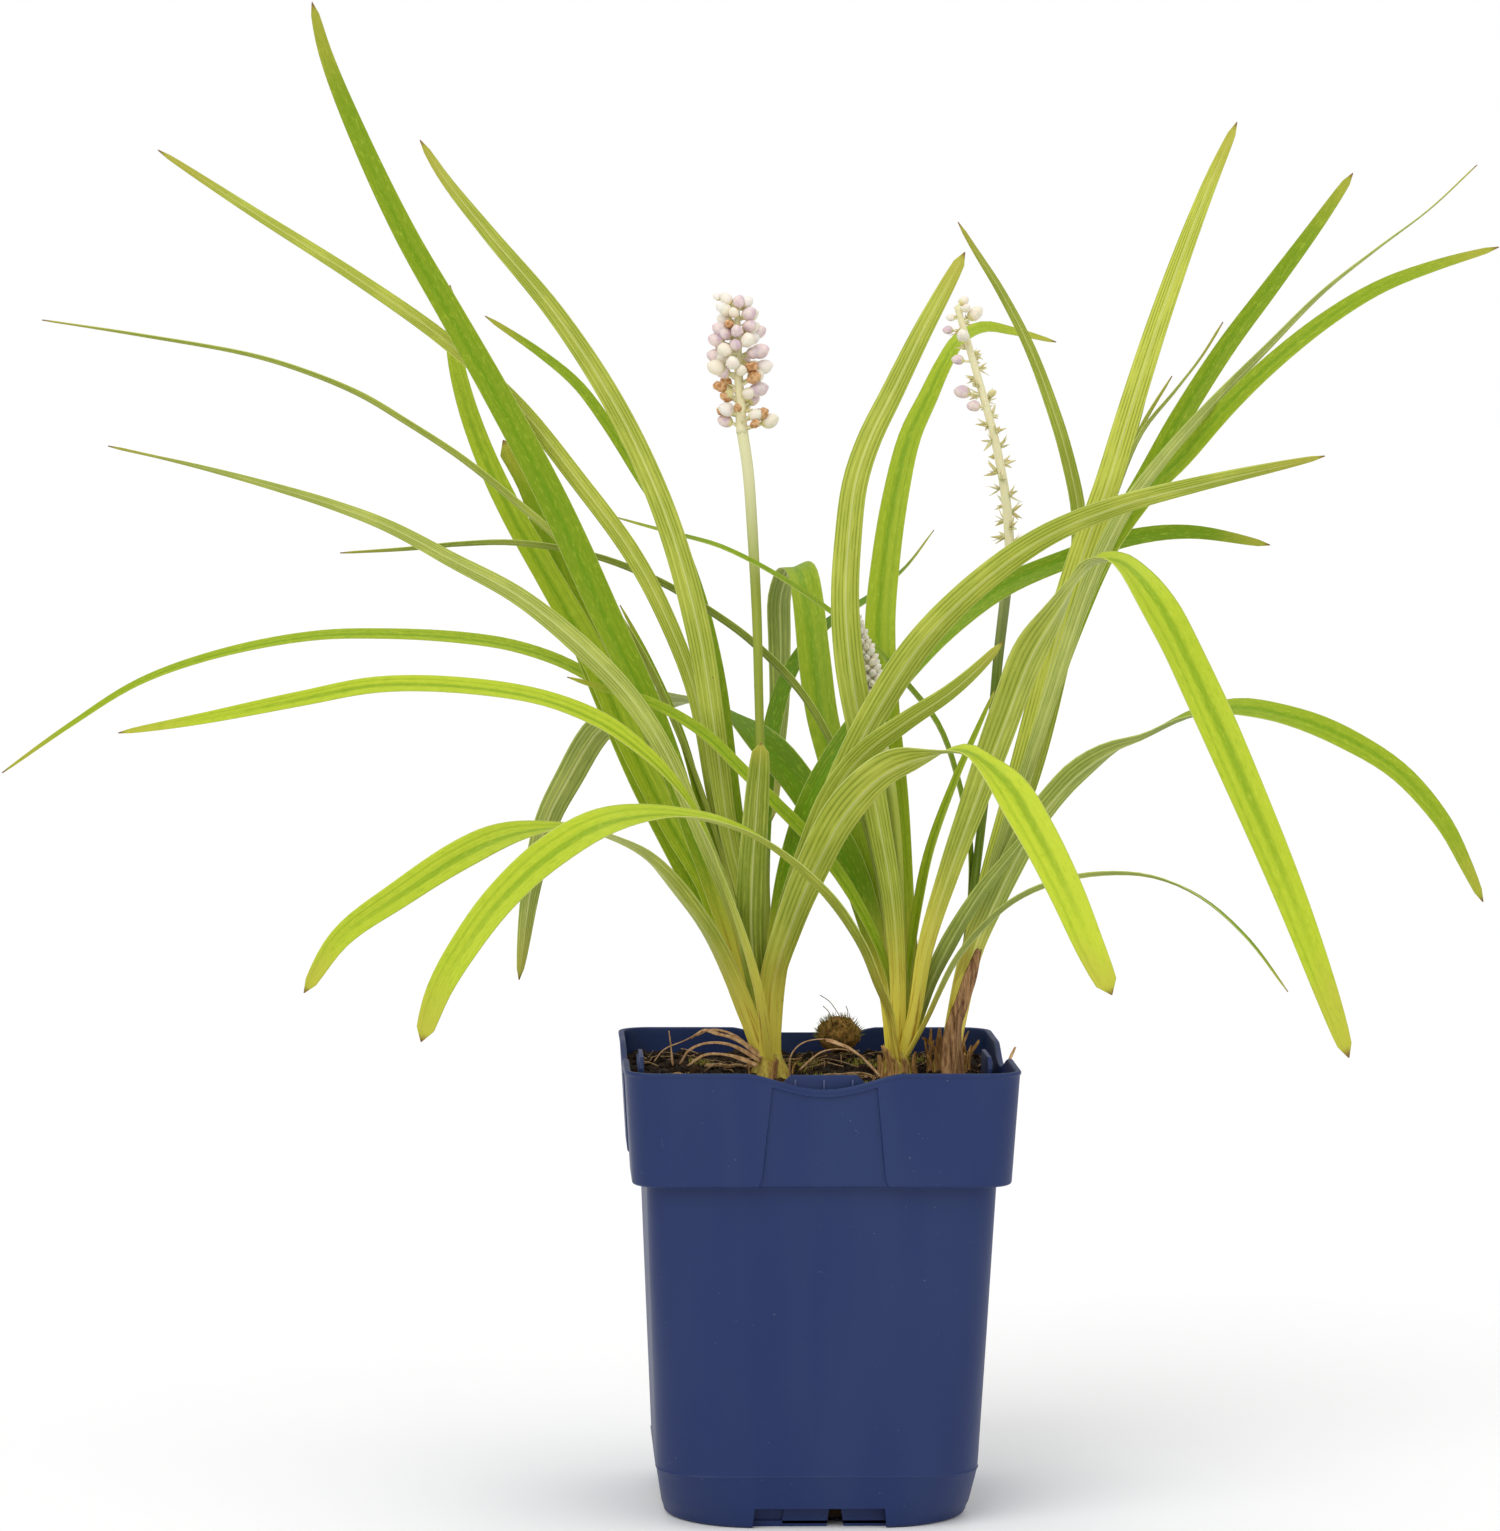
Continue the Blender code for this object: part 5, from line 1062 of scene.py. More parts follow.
def add_box(shape, low, high, turn=None, mark=(0, 0, 0)):
    corners = [Vector((x, y, z)) for z in (low.z, high.z)
               for x, y in ((low.x, low.y), (high.x, low.y), (high.x, high.y), (low.x, high.y))]
    rings = [[shape.add(turn @ c if turn else c, mark) for c in corners[k:k + 4]] for k in (0, 4)]
    shape.loft(rings)


def add_prism(shape, outline, near, far, turn):
    """A prism of an (x, z) outline between two values of y, turned about the pot's axis."""
    rings = [[shape.add(turn @ Vector((x, y, z))) for x, z in outline] for y in (near, far)]
    shape.loft(rings)


def cut_away(obj, shape, name):
    """Takes a shape's bodies away from obj for good."""
    cutter = linked(name, shape.mesh(name))
    away = obj.modifiers.new(name, "BOOLEAN")
    away.object = cutter
    away.solver = "EXACT"
    apply_modifiers(obj)
    bpy.data.objects.remove(cutter)


def apply_modifiers(obj):
    bpy.context.view_layer.update()
    evaluated = obj.evaluated_get(bpy.context.evaluated_depsgraph_get())
    mesh = bpy.data.meshes.new_from_object(evaluated)
    mesh.name = obj.name
    obj.modifiers.clear()
    obj.data = mesh


def quarter_turns():
    return [Matrix.Rotation(side * math.pi / 2, 3, "Z") for side in range(4)]


def notch_cutters():
    shape = Shape()
    notch = [(-NOTCH_HALF, -1 * MM), (NOTCH_HALF, -1 * MM), (NOTCH_HALF - 0.6 * MM, NOTCH_HEIGHT),
             (0.6 * MM - NOTCH_HALF, NOTCH_HEIGHT)]
    for turn in quarter_turns():
        add_prism(shape, notch, -BASE_HALF - 5 * MM, -BASE_HALF + NOTCH_DEPTH, turn)
    return shape


def drain_cutters():
    shape = Shape()
    slot = [(DRAIN_OFFSET - DRAIN_HALF, -1 * MM), (DRAIN_OFFSET + DRAIN_HALF, -1 * MM),
            (DRAIN_OFFSET + 0.6 * DRAIN_HALF, NOTCH_HEIGHT - 0.3 * MM),
            (DRAIN_OFFSET - 0.6 * DRAIN_HALF, NOTCH_HEIGHT - 0.3 * MM)]
    for turn in quarter_turns():
        add_prism(shape, slot, -BASE_HALF + NOTCH_DEPTH - 1.5 * MM, -BASE_HALF + DRAIN_DEPTH, turn)
    return shape


def make_pot(look):
    shell = Shape()
    shell.loft([[shell.add(p, (row.edge_highlight, 0, 0)) for p in row.ring()] for row in pot_rows()])
    pot = shell.piece("pot_shell", look, ["pot"])
    cut_away(pot, notch_cutters(), "notches")
    cut_away(pot, drain_cutters(), "floor_slots")
    pot.data.shade_smooth()
    pot.data.set_sharp_from_angle(angle=SHELL_CREASE)
    blocks = Shape()
    reach = BASE_HALF - NOTCH_DEPTH - 2 * WALL
    for turn in quarter_turns():
        add_box(blocks, Vector((-NOTCH_HALF - WALL, -BASE_HALF + 0.6 * MM, 0.8 * MM)),
                Vector((NOTCH_HALF + WALL, -reach, NOTCH_HEIGHT + WALL)), turn)
    wells = blocks.piece("drain_wells", look, ["pot"], smooth=False)
    cut_away(wells, notch_cutters(), "well_notches")
    cut_away(wells, drain_cutters(), "well_slots")
    cut_away(wells, well_panels(), "well_panels")
    tabs = Shape()
    top = POT_HEIGHT - TAB_DROP
    foot = COLLAR_FOOT_HEIGHT + 0.5 * MM
    outline = [(-TAB_HALF, foot), (TAB_HALF, foot), (TAB_HALF, top - TAB_CHAMFER),
               (TAB_HALF - TAB_CHAMFER, top), (TAB_CHAMFER - TAB_HALF, top),
               (-TAB_HALF, top - TAB_CHAMFER)]
    for turn in quarter_turns():
        add_prism(tabs, outline, -TAB_FACE, -TAB_FACE + TAB_THICK, turn)
        # Three ribs on each tab, painted pale as a painted highlight
        for k in (-1, 0, 1):
            centre = Vector((k * TAB_RIB_PITCH, -TAB_FACE, top - 1.2 * MM - TAB_RIB_SIZE.z / 2))
            add_box(tabs, centre - TAB_RIB_SIZE / 2, centre + TAB_RIB_SIZE / 2, turn, (1.4, 0, 0))
    made = tabs.piece("label_tabs", look, ["pot"], smooth=False)
    soften_edges(made, 0.16 * MM)


def well_panels():
    """Shallow vertical steps in the recessed wall of each notch."""
    shape = Shape()
    face = -BASE_HALF + NOTCH_DEPTH
    top = NOTCH_HEIGHT - 0.2 * MM
    panel = [(-NOTCH_HALF + 0.2 * MM, -1 * MM), (-10.5 * MM, -1 * MM), (-9.8 * MM, top),
             (-NOTCH_HALF + 0.8 * MM, top)]
    for turn in quarter_turns():
        add_prism(shape, panel, face - 0.5 * MM, face + 0.9 * MM, turn)
    return shape


def soften_edges(obj, width):
    bevel = obj.modifiers.new("edges", "BEVEL")
    bevel.width = width
    bevel.segments = 2
    bevel.limit_method = "ANGLE"
    apply_modifiers(obj)
    obj.data.shade_smooth()
    obj.data.set_sharp_from_angle(angle=TAB_CREASE)


def outline_square(half, corner, arc_steps, side_steps):
    """Points of a square with round corners, anticlockwise from the left end of the front."""
    flat = half - corner
    points = []
    for quarter in range(4):
        turned = Matrix.Rotation(quarter * math.pi / 2, 2)
        for k in range(side_steps):
            points.append(turned @ Vector((-flat + 2 * flat * k / side_steps, -half)))
        for k in range(arc_steps):
            a = math.pi / 2 * k / arc_steps
            points.append(turned @ Vector((flat + corner * math.sin(a), -flat - corner * math.cos(a))))
    return points


def crumbled(x, y):
    """The soil's surface with its finer lumps."""
    fine = noise.fractal(Vector((x, y, 0.02)) / (3.2 * MM), 0.9, 2.1, 3)
    return soil_height(x, y) + 0.75 * MM * fine


def make_soil(look):
    shape = Shape()
    inside = RIM_HALF - COLLAR_WALL - GAP - 0.5 * MM
    above_wells = NOTCH_HEIGHT + WALL + GAP
    between_wells = BASE_HALF - NOTCH_DEPTH - 2 * WALL - 2 * GAP
    sections = [
        (FLOOR + GAP, between_wells, BASE_CORNER - 7 * MM),
        (above_wells, between_wells, BASE_CORNER - 7 * MM),
        (above_wells + 1.5 * MM, base_size(above_wells)[0] - WALL - GAP, BASE_CORNER - 3 * MM),
        (SEAM_HEIGHT, SEAM_HALF - WALL - GAP, SEAM_CORNER - WALL),
        (COLLAR_FOOT_HEIGHT + 1.8 * MM, BODY_TOP_HALF - WALL - GAP, BODY_TOP_CORNER - WALL),
        (COLLAR_FOOT_HEIGHT + 3.2 * MM, COLLAR_FOOT_HALF - COLLAR_WALL - GAP,
         COLLAR_CORNER - COLLAR_WALL),
    ]
    rings = [[shape.add(Vector((p.x, p.y, height))) for p in outline_square(half, corner, 8, 64)]
             for height, half, corner in sections]
    outline = outline_square(inside, COLLAR_CORNER - COLLAR_WALL, 8, 64)
    clear = TAB_FACE - TAB_THICK - GAP
    for k in range(SOIL_RINGS):
        share = 1.0 - k / SOIL_RINGS
        ring = []
        for p in outline:
            x, y = p.x * share, p.y * share
            height = crumbled(x, y)
            if min(abs(x), abs(y)) < TAB_HALF + 1.5 * MM and max(abs(x), abs(y)) > clear:
                height -= 7 * MM
            ring.append(shape.add(Vector((x, y, height))))
        rings.append(ring)
    shape.loft(rings)
    shape.piece("soil_body", look, ["soil"])


def ground_spot(draw, margin=2.5 * MM):
    """A random spot of the soil, clear of the tabs and of the pot's corners."""
    reach = RIM_HALF - COLLAR_WALL - margin
    while True:
        x, y = draw.uniform(-reach, reach), draw.uniform(-reach, reach)
        if min(abs(x), abs(y)) < TAB_HALF + 2 * MM and max(abs(x), abs(y)) > TAB_FACE - 3 * MM:
            continue
        if abs(x) > reach - 5 * MM and abs(y) > reach - 5 * MM:
            continue
        return x, y


def add_clod(shape, centre, radius, draw):
    """A small irregular lump: a jittered ball of four rings."""
    spin = Quaternion((draw.uniform(-1, 1), draw.uniform(-1, 1), draw.uniform(-1, 1), 1)).normalized()
    size = Vector((draw.uniform(0.7, 1.3), draw.uniform(0.7, 1.3), draw.uniform(0.6, 1.1)))
    rings = []
    for z in (-0.85, -0.3, 0.35, 0.87):
        ring = []
        for k in range(6):
            a = math.pi / 3 * (k + draw.uniform(-0.25, 0.25))
            r = math.sqrt(1 - z * z) * draw.uniform(0.75, 1.2)
            local = Vector((r * math.cos(a) * size.x, r * math.sin(a) * size.y, z * size.z))
            ring.append(shape.add(centre + spin @ local * radius))
        rings.append(ring)
    shape.loft(rings)


def make_crumbs(look):
    shape = Shape()
    draw = random.Random(SEEDS["crumbs"])
    for _ in range(CRUMBS):
        x, y = ground_spot(draw)
        radius = draw.uniform(0.25, 0.7) if draw.random() < 0.8 else draw.uniform(0.7, 1.7)
        add_clod(shape, Vector((x, y, crumbled(x, y) + 0.2 * radius * MM)), radius * MM, draw)
    shape.piece("soil_crumbs", look, smooth=False)


def ground_line(x, y, heading, length, draw, bend, lift, hover=0.0):
    """Points of a fibre that lies over the soil from (x, y), wandering, and arches by lift."""
    points = []
    steps = 7
    for k in range(steps + 1):
        share = k / steps
        z = crumbled(x, y) + hover + lift * math.sin(math.pi * share)
        points.append(Vector((x, y, z)))
        heading += draw.uniform(-bend, bend)
        reach = RIM_HALF - COLLAR_WALL - 1.5 * MM
        x = min(max(x + math.cos(heading) * length / steps, -reach), reach)
        y = min(max(y + math.sin(heading) * length / steps, -reach), reach)
    return points


def make_fibres(look):
    """Fine roots and fibres over the soil."""
    shape = Shape()
    draw = random.Random(SEEDS["fibres"])
    for _ in range(FIBRES):
        x, y = ground_spot(draw)
        radius = draw.uniform(0.07, 0.2) * MM
        line = ground_line(x, y, draw.uniform(0, 6.28), draw.uniform(7, 24) * MM, draw, 0.6,
                           draw.uniform(0, 2.2) * MM, 0.3 * MM)
        curve = smooth_curve(line, 1.4 * MM)
        shade = draw.random()
        shape.tube(curve, [radius * (1 - 0.6 * i / len(curve)) for i in range(len(curve))], 5,
                   lambda share: (0, share, shade))
    shape.piece("soil_fibres", look)


def make_chips(look):
    """Splinters of bark and dry stalk that lie on the soil."""
    shape = Shape()
    draw = random.Random(SEEDS["chips"])
    for _ in range(CHIPS):
        x, y = ground_spot(draw)
        length, wide = draw.uniform(2.5, 7) * MM, draw.uniform(0.5, 1.4) * MM
        add_strip(shape, Vector((x, y, crumbled(x, y) + 0.4 * MM)), draw.uniform(0, 6.28),
                  draw.uniform(-0.15, 0.35), length, wide, draw)
    shape.piece("bark_chips", look)


def add_strip(shape, start, heading, rise, length, wide, draw):
    """A thin splinter with ragged ends."""
    aim = Vector((math.cos(heading) * math.cos(rise), math.sin(heading) * math.cos(rise),
                  math.sin(rise)))
    side = aim.cross(Vector((0, 0, 1))).normalized()
    out = side.cross(aim)
    rings = []
    shade = draw.random()
    for share, size in ((0.0, 0.3), (0.12, 0.85), (0.5, 1.0), (0.85, 0.8), (1.0, 0.2)):
        centre = start + aim * length * share + out * 0.3 * MM * math.sin(3 * share)
        ring = []
        for a in circle(6):
            spot = centre + side * wide / 2 * size * math.cos(a) * draw.uniform(0.8, 1.1)
            ring.append(shape.add(spot + out * 0.22 * MM * math.sin(a), (0, share, shade)))
        rings.append(ring)
    shape.loft(rings)


def point_on(axis, share):
    """The point and direction at a share of an axis's length."""
    lengths = [(b - a).length for a, b in zip(axis, axis[1:])]
    want = share * sum(lengths)
    for (a, b), length in zip(zip(axis, axis[1:]), lengths):
        if want <= length:
            return a.lerp(b, want / length), (b - a).normalized()
        want -= length
    return axis[-1].copy(), (axis[-1] - axis[-2]).normalized()


def around(direction, turns):
    """A unit vector across a direction, at that many turns round it."""
    side = Vector((1, 0, 0))
    side = (side - direction * side.dot(direction)).normalized()
    return Quaternion(direction, 2 * math.pi * turns) @ side


# The kinds of bud, and a bud's width along its length as a share of its widest
WHITE, PINK, DEAD, GREEN = 0.0, 1.0, 2.0, 3.0
BUD_PROFILE = ((0.0, 0.2), (0.05, 0.5), (0.14, 0.74), (0.3, 0.95), (0.47, 1.0), (0.62, 0.95),
               (0.76, 0.8), (0.88, 0.55), (0.96, 0.28), (1.0, 0.08))


def add_bud(shape, foot, out, length, width, kind, draw):
    """A closed floret: six tepals folded into an egg, or a crumpled brown one."""
    axis = out.normalized()
    side = axis.orthogonal().normalized()
    across = axis.cross(side)
    tone = draw.random()
    rings = []
    for share, size in BUD_PROFILE:
        ring = []
        for a in circle(12):
            lobes = 1.0 + 0.07 * math.cos(3 * a) * math.sin(math.pi * share) + 0.03 * math.cos(6 * a)
            r = width / 2 * size * lobes
            spot = foot + axis * length * share + (side * math.cos(a) + across * math.sin(a)) * r
            if kind == DEAD:
                spot += noise.noise_vector(spot / (1.1 * MM)) * width * 0.28 * math.sin(math.pi * share)
            ring.append(shape.add(spot, (kind, share, tone)))
        rings.append(ring)
    shape.loft(rings)


def add_floret(shape, foot, out, stem, length, width, kind, draw):
    """A bud on its short stem."""
    aim = out.normalized()
    bend = Vector((0, 0, 0.25)) + around(aim, draw.random()) * 0.15
    tip = foot + aim * stem
    curve = smooth_curve([foot, foot.lerp(tip, 0.5) - bend * stem * 0.2, tip], 0.8 * MM, 4)
    shape.tube(curve, [width * 0.13] * len(curve), 6, lambda share: (GREEN, 0.5, 0.9))
    add_bud(shape, tip - aim * 0.2 * MM, aim + bend * 0.5, length, width, kind, draw)


def add_bract(shape, foot, out, length, width, draw):
    """A small pointed scale."""
    axis = out.normalized()
    side = around(axis, draw.random())
    across = axis.cross(side)
    tone = draw.random()
    rings = []
    for share, size in ((0.0, 0.6), (0.35, 1.0), (0.7, 0.55), (1.0, 0.08)):
        centre = foot + axis * length * share - across * 0.12 * length * share * share
        ring = []
        for a in circle(5):
            wide = width * size
            spot = centre + side * math.cos(a) * wide / 2 + across * math.sin(a) * wide / 5
            ring.append(shape.add(spot, (GREEN, share, tone)))
        rings.append(ring)
    shape.loft(rings)


def add_core(shape, axis, radius, thin):
    curve = smooth_curve(axis, 1.5 * MM)
    last = len(curve) - 1
    shape.tube(curve, [radius * (1 - thin * i / last) for i in range(last + 1)], 12,
               lambda share: (GREEN, share, 0.95))


# The left head as seen: (pixel, pixel, mm in front of the axis, mm long, kind) of each bud's middle
LEFT_BUDS = [
    (725, 299, 0, 4.2, WHITE), (721, 308, 1, 3.8, WHITE), (716, 297, -1, 2.6, WHITE),
    (739, 304, 1, 4.2, PINK), (748, 303, -1, 4.4, WHITE), (752, 315, 0, 4.6, WHITE),
    (733, 313, 3, 3.6, WHITE), (750, 326, 2, 4.4, PINK), (760, 333, -1, 4.6, PINK),
    (749, 341, 5, 5.2, WHITE), (719, 330, 2, 4.8, PINK), (729, 324, 4, 3.6, DEAD),
    (737, 331, 5, 4.4, PINK), (715, 341, 1, 5.0, PINK), (724, 350, 5, 5.0, WHITE),
    (735, 345, 5, 4.2, PINK), (761, 351, 2, 5.4, PINK), (714, 357, 0, 5.0, PINK),
    (732, 363, 6, 4.8, WHITE), (715, 369, 3, 5.6, WHITE), (765, 367, 0, 5.2, WHITE),
    (752, 368, 4, 4.6, DEAD), (742, 371, 5, 4.0, WHITE), (755, 379, 4, 4.8, DEAD),
    (761, 389, 1, 5.0, PINK), (719, 387, 3, 4.4, DEAD), (749, 393, 2, 4.2, WHITE),
    (725, 410, 2, 5.0, WHITE), (738, 408, 5, 3.4, DEAD), (762, 415, 2, 5.0, DEAD),
    (771, 422, 0, 5.4, WHITE), (727, 395, 2, 3.6, GREEN), (756, 424, 3, 3.4, DEAD),
]


def make_left_head(look):
    """The head in bloom: the buds that the photograph shows, and as many round the back."""
    shape = Shape()
    draw = random.Random(SEEDS["left head"])
    axis = [seen_at(*p) for p in LEFT_HEAD]
    add_core(shape, axis, 1.7 * MM, 0.6)
    aims = []
    for px, py, front, size, kind in LEFT_BUDS:
        middle = seen_at(px, py, LEFT_HEAD[0][2] - front)
        share = min(max((LEFT_HEAD[0][1] - py) / (LEFT_HEAD[0][1] - LEFT_HEAD[-1][1]), 0.03), 0.97)
        aims.append((middle, share, size, kind))
    for k in range(BACK_BUDS):
        share = 0.06 + 0.9 * k / (BACK_BUDS - 1)
        centre, direction = point_on(axis, share)
        out = around(direction, 0.25 + 0.33 * math.sin(2.4 * k))
        reach = (7.2 - 2.8 * share ** 2) * MM * (1.0 if share > 0.3 else 0.85)
        kind = DEAD if share < 0.4 and k % 3 == 0 else (PINK if k % 2 else WHITE)
        aims.append((centre + out * reach * 0.8, share, 4.6 + draw.uniform(-0.5, 0.5), kind))
    for middle, share, size, kind in aims:
        foot, direction = point_on(axis, share)
        foot = foot - direction * 1.5 * MM
        aim = (middle - foot).normalized()
        length, width = size * MM, size * MM * (0.8 if kind != DEAD else 0.66)
        stem = max((middle - foot).length - length / 2, 0.6 * MM)
        add_floret(shape, foot, aim, stem, length, width, kind, draw)
    for k in range(LEFT_BRACTS):
        centre, direction = point_on(axis, 0.02 + 0.9 * k / (LEFT_BRACTS - 1))
        out = around(direction, GOLDEN_TURN * k)
        add_bract(shape, centre + out * 1.2 * MM, out + direction * 0.3, draw.uniform(2.2, 3.8) * MM,
                  1.1 * MM, draw)
    shape.piece("head_left", look, ["flower_left"])


def make_middle_head(look):
    """The head still in bud: small tight florets, smaller towards the tip."""
    shape = Shape()
    draw = random.Random(SEEDS["middle head"])
    axis = [seen_at(*p) for p in MIDDLE_HEAD]
    add_core(shape, axis, 1.4 * MM, 0.6)
    for k in range(MIDDLE_FLORETS):
        share = 0.02 + 0.98 * k / (MIDDLE_FLORETS - 1)
        centre, direction = point_on(axis, share)
        out = around(direction, GOLDEN_TURN * k)
        size = (3.3 - 1.7 * share) * MM * draw.uniform(0.85, 1.1)
        reach = (2.3 - 1.7 * share) * MM
        add_bud(shape, centre + out * reach * 0.4, out + direction * (0.2 + 0.9 * share ** 2),
                reach * 0.6 + size, size * 0.85, WHITE, draw)
        if k % 2:
            add_bract(shape, centre + out * reach, out + direction * 0.8, size * 0.9, 0.8 * MM, draw)
    shape.piece("head_middle", look, ["flower_middle"])


# The buds left on the right head: share of the axis, turns round it, mm of stem, mm long, kind
RIGHT_BUDS = [(0.93, 0.02, 1.3, 5.2, WHITE), (0.865, 0.7, 0.8, 4.8, WHITE), (0.9, 0.5, 2.2, 3.2, PINK),
              (0.775, 0.5, 1.6, 3.8, PINK), (0.64, 0.52, 2.6, 5.0, PINK), (0.585, 0.55, 0.8, 4.2, PINK),
              (0.62, 0.0, 0.5, 2.8, GREEN), (0.97, 0.9, 0.4, 3.0, WHITE), (0.95, 0.5, 0.6, 2.8, WHITE),
              (1.0, 0.1, 0.3, 3.6, WHITE)]


def make_right_head(look):
    """The spent head: a pale bare axis with star-like bunches of bracts, and a few last buds."""
    shape = Shape()
    draw = random.Random(SEEDS["right head"])
    axis = [seen_at(*p) for p in RIGHT_HEAD]
    axis[0] = axis[0] - (axis[1] - axis[0]).normalized() * GAP
    add_core(shape, axis, 1.5 * MM, 0.35)
    for k in range(RIGHT_BUNCHES):
        share = 0.03 + 0.93 * k / (RIGHT_BUNCHES - 1)
        centre, direction = point_on(axis, share)
        turns = (0.0, 0.5, 0.78, 0.5, 0.0, 0.25)[k % 6] + draw.uniform(-0.1, 0.1)
        out = around(direction, turns)
        foot = centre + out * (1.1 - 0.4 * share) * MM
        for _ in range(6):
            aim = out + direction * draw.uniform(-0.5, 1.1) + around(out, draw.random()) * 0.65
            add_bract(shape, foot, aim, draw.uniform(2.2, 5.4) * (1 - 0.3 * share) * MM,
                      draw.uniform(0.9, 1.4) * MM, draw)
    for share, turns, stem, size, kind in RIGHT_BUDS:
        centre, direction = point_on(axis, share)
        out = around(direction, turns)
        add_floret(shape, centre, out + direction * 0.25, stem * MM + 1.2 * MM, size * MM,
                   size * 0.78 * MM, kind, draw)
    shape.piece("head_right", look, ["flower_right"])


# Long hairs that stand from the moss, as seen
MOSS_HAIRS = [[(843, 1022, 20), (836, 1010, 19), (829, 1001, 18), (820, 995, 17)],
              [(832, 1022, 18), (829, 1012, 16), (823, 1006, 15)],
              [(846, 1022, 18), (848, 1012, 17), (846, 1006, 17)]]


def make_moss(look):
    shape = Shape()
    draw = random.Random(SEEDS["moss"])
    centre = Vector((*MOSS_AT, soil_height(*MOSS_AT) + MOSS_LIFT)) + Vector((0.9, 0.0, 3.4)) * MM
    rings = []
    for i in range(25):
        fall = math.pi * (0.03 + 0.94 * i / 24)
        ring = []
        for a in circle(48):
            out = Vector((math.sin(fall) * math.cos(a), math.sin(fall) * math.sin(a), -math.cos(fall)))
            lump = 1 + 0.12 * noise.fractal(out * 2.2, 0.9, 2.1, 3) + 0.05 * noise.noise(out * 9)
            spot = Vector((out.x, out.y * 0.9, out.z * 0.85)) * MOSS_RADIUS * lump
            ring.append(shape.add(centre + spot, (0, 0.1, draw.random() ** 2)))
        rings.append(ring)
    shape.loft(rings)
    for _ in range(MOSS_SHOOTS):
        a, z = draw.uniform(0, 6.28), draw.uniform(-0.25, 1)
        out = Vector((math.sqrt(1 - z * z) * math.cos(a), math.sqrt(1 - z * z) * math.sin(a), z))
        foot = centre + Vector((out.x, out.y * 0.9, out.z * 0.85)) * MOSS_RADIUS * 0.97
        add_shoot(shape, foot, out + Vector((0, 0, 0.5)), draw.uniform(0.8, 2.2) * MM,
                  0.13 * MM, draw)
    for hair in MOSS_HAIRS:
        curve = smooth_curve([seen_at(*p) for p in hair], 1.0 * MM)
        shape.tube(curve, [0.13 * MM] * len(curve), 5, lambda share: (0, 0.5, 0.9))
    shape.piece("moss_cushion", look, ["moss"])


def add_shoot(shape, foot, out, length, radius, draw):
    lean = Vector((draw.uniform(-0.5, 0.5), draw.uniform(-0.5, 0.5), draw.uniform(-0.2, 0.4)))
    aim = (out.normalized() + lean * 0.7).normalized()
    tip = foot + aim * length
    curve = [foot, foot.lerp(tip, 0.5) + lean * length * 0.12, tip]
    tone = draw.random() ** 2
    shape.tube(curve, [radius, radius * 0.8, radius * 0.25], 4, lambda share: (0, share, tone))


# Patches of moss and weed seedlings on the soil: where, and how wide, in mm
MOSS_PATCHES = [(1, -14, 6.5), (8, -25, 7), (-3, 8, 6), (16, 10, 6), (24, -22, 5), (-18, -30, 4),
                (30, 24, 6), (-30, 26, 5), (14, 34, 5), (2, 30, 5)]


def make_moss_patches(look):
    shape = Shape()
    draw = random.Random(SEEDS["patches"])
    for x, y, wide in MOSS_PATCHES:
        for _ in range(int(SHOOTS_PER_MM * wide)):
            a, r = draw.uniform(0, 6.28), wide * MM * math.sqrt(draw.random())
            px, py = x * MM + r * math.cos(a), y * MM + r * math.sin(a)
            foot = Vector((px, py, crumbled(px, py) - 0.2 * MM))
            add_shoot(shape, foot, Vector((0, 0, 1)), draw.uniform(0.6, 2.0) * MM, 0.15 * MM, draw)
    shape.piece("moss_patches", look)


# The dry sheath stands in front of the right tuft
SHEATH_AT = Vector((40.5, -12.5)) * MM
SHEATH_SEEN = [(953, 1035, -12.0), (962, 1005, -11.5), (972, 975, -11.0), (979, 950, -10.5)]
SHEATH_WIDTH = 11.0 * MM
SHEATH_SINK = 6.0 * MM


def add_rolled(shape, curve, width, thick, roll, draw, taper=0.72, ragged=0.12, facing=None):
    """A rolled, torn strip along a curve, closed, with a ragged margin and length ribs."""
    rings = []
    last = len(curve) - 1
    shade = draw.random() * 0.6
    seed = draw.uniform(0, 50)
    frames = carried_frames(curve)
    if facing is not None:
        frames = [(t, t.cross(facing).normalized()) for t, _ in frames]
    for i, (point, (tangent, side)) in enumerate(zip(curve, frames)):
        share = i / last
        outward = side.cross(tangent)
        half = width / 2 * (0.85 + 0.15 * math.sin(9 * share)) * (1 - taper * share ** 2)
        front, back = [], []
        for k in range(13):
            u = k / 6 - 1
            torn = 1 + ragged * noise.noise(Vector((seed + 7 * share, u * 0.7, 0)))
            a = u * roll / 2
            rib = 0.05 * half * math.sin(u * 13 + seed) + 0.1 * half * noise.noise(
                Vector((seed + 4 * share, u * 2.5, 5)))
            spot = point + side * half * torn * math.sin(a) + outward * (
                half * 0.55 * (math.cos(a) - 0.6) + rib)
            spot += tangent * share ** 3 * half * 1.2 * noise.noise(Vector((seed, u * 2.2, 9)))
            front.append(shape.add(spot + outward * thick / 2, (u, share, shade)))
            back.append(shape.add(spot - outward * thick / 2, (u, share, shade)))
        rings.append(back + front[::-1])
    shape.loft(rings)


def make_sheath(look):
    shape = Shape()
    draw = random.Random(SEEDS["sheath"])
    foot = Vector((*SHEATH_AT, soil_height(*SHEATH_AT) - SHEATH_SINK))
    curve = smooth_curve([foot, *(seen_at(*p) for p in SHEATH_SEEN)], 1.2 * MM)
    add_rolled(shape, curve, SHEATH_WIDTH, 0.4 * MM, math.radians(150), draw)
    shape.piece("sheath_dry", look, ["dry_sheath"])


# Scraps of old sheath round each crown: how many, and the least and most mm they stand
CROWN_SCRAPS = {"left": (4, 3, 6), "middle": (12, 4, 11), "right": (15, 5, 15)}


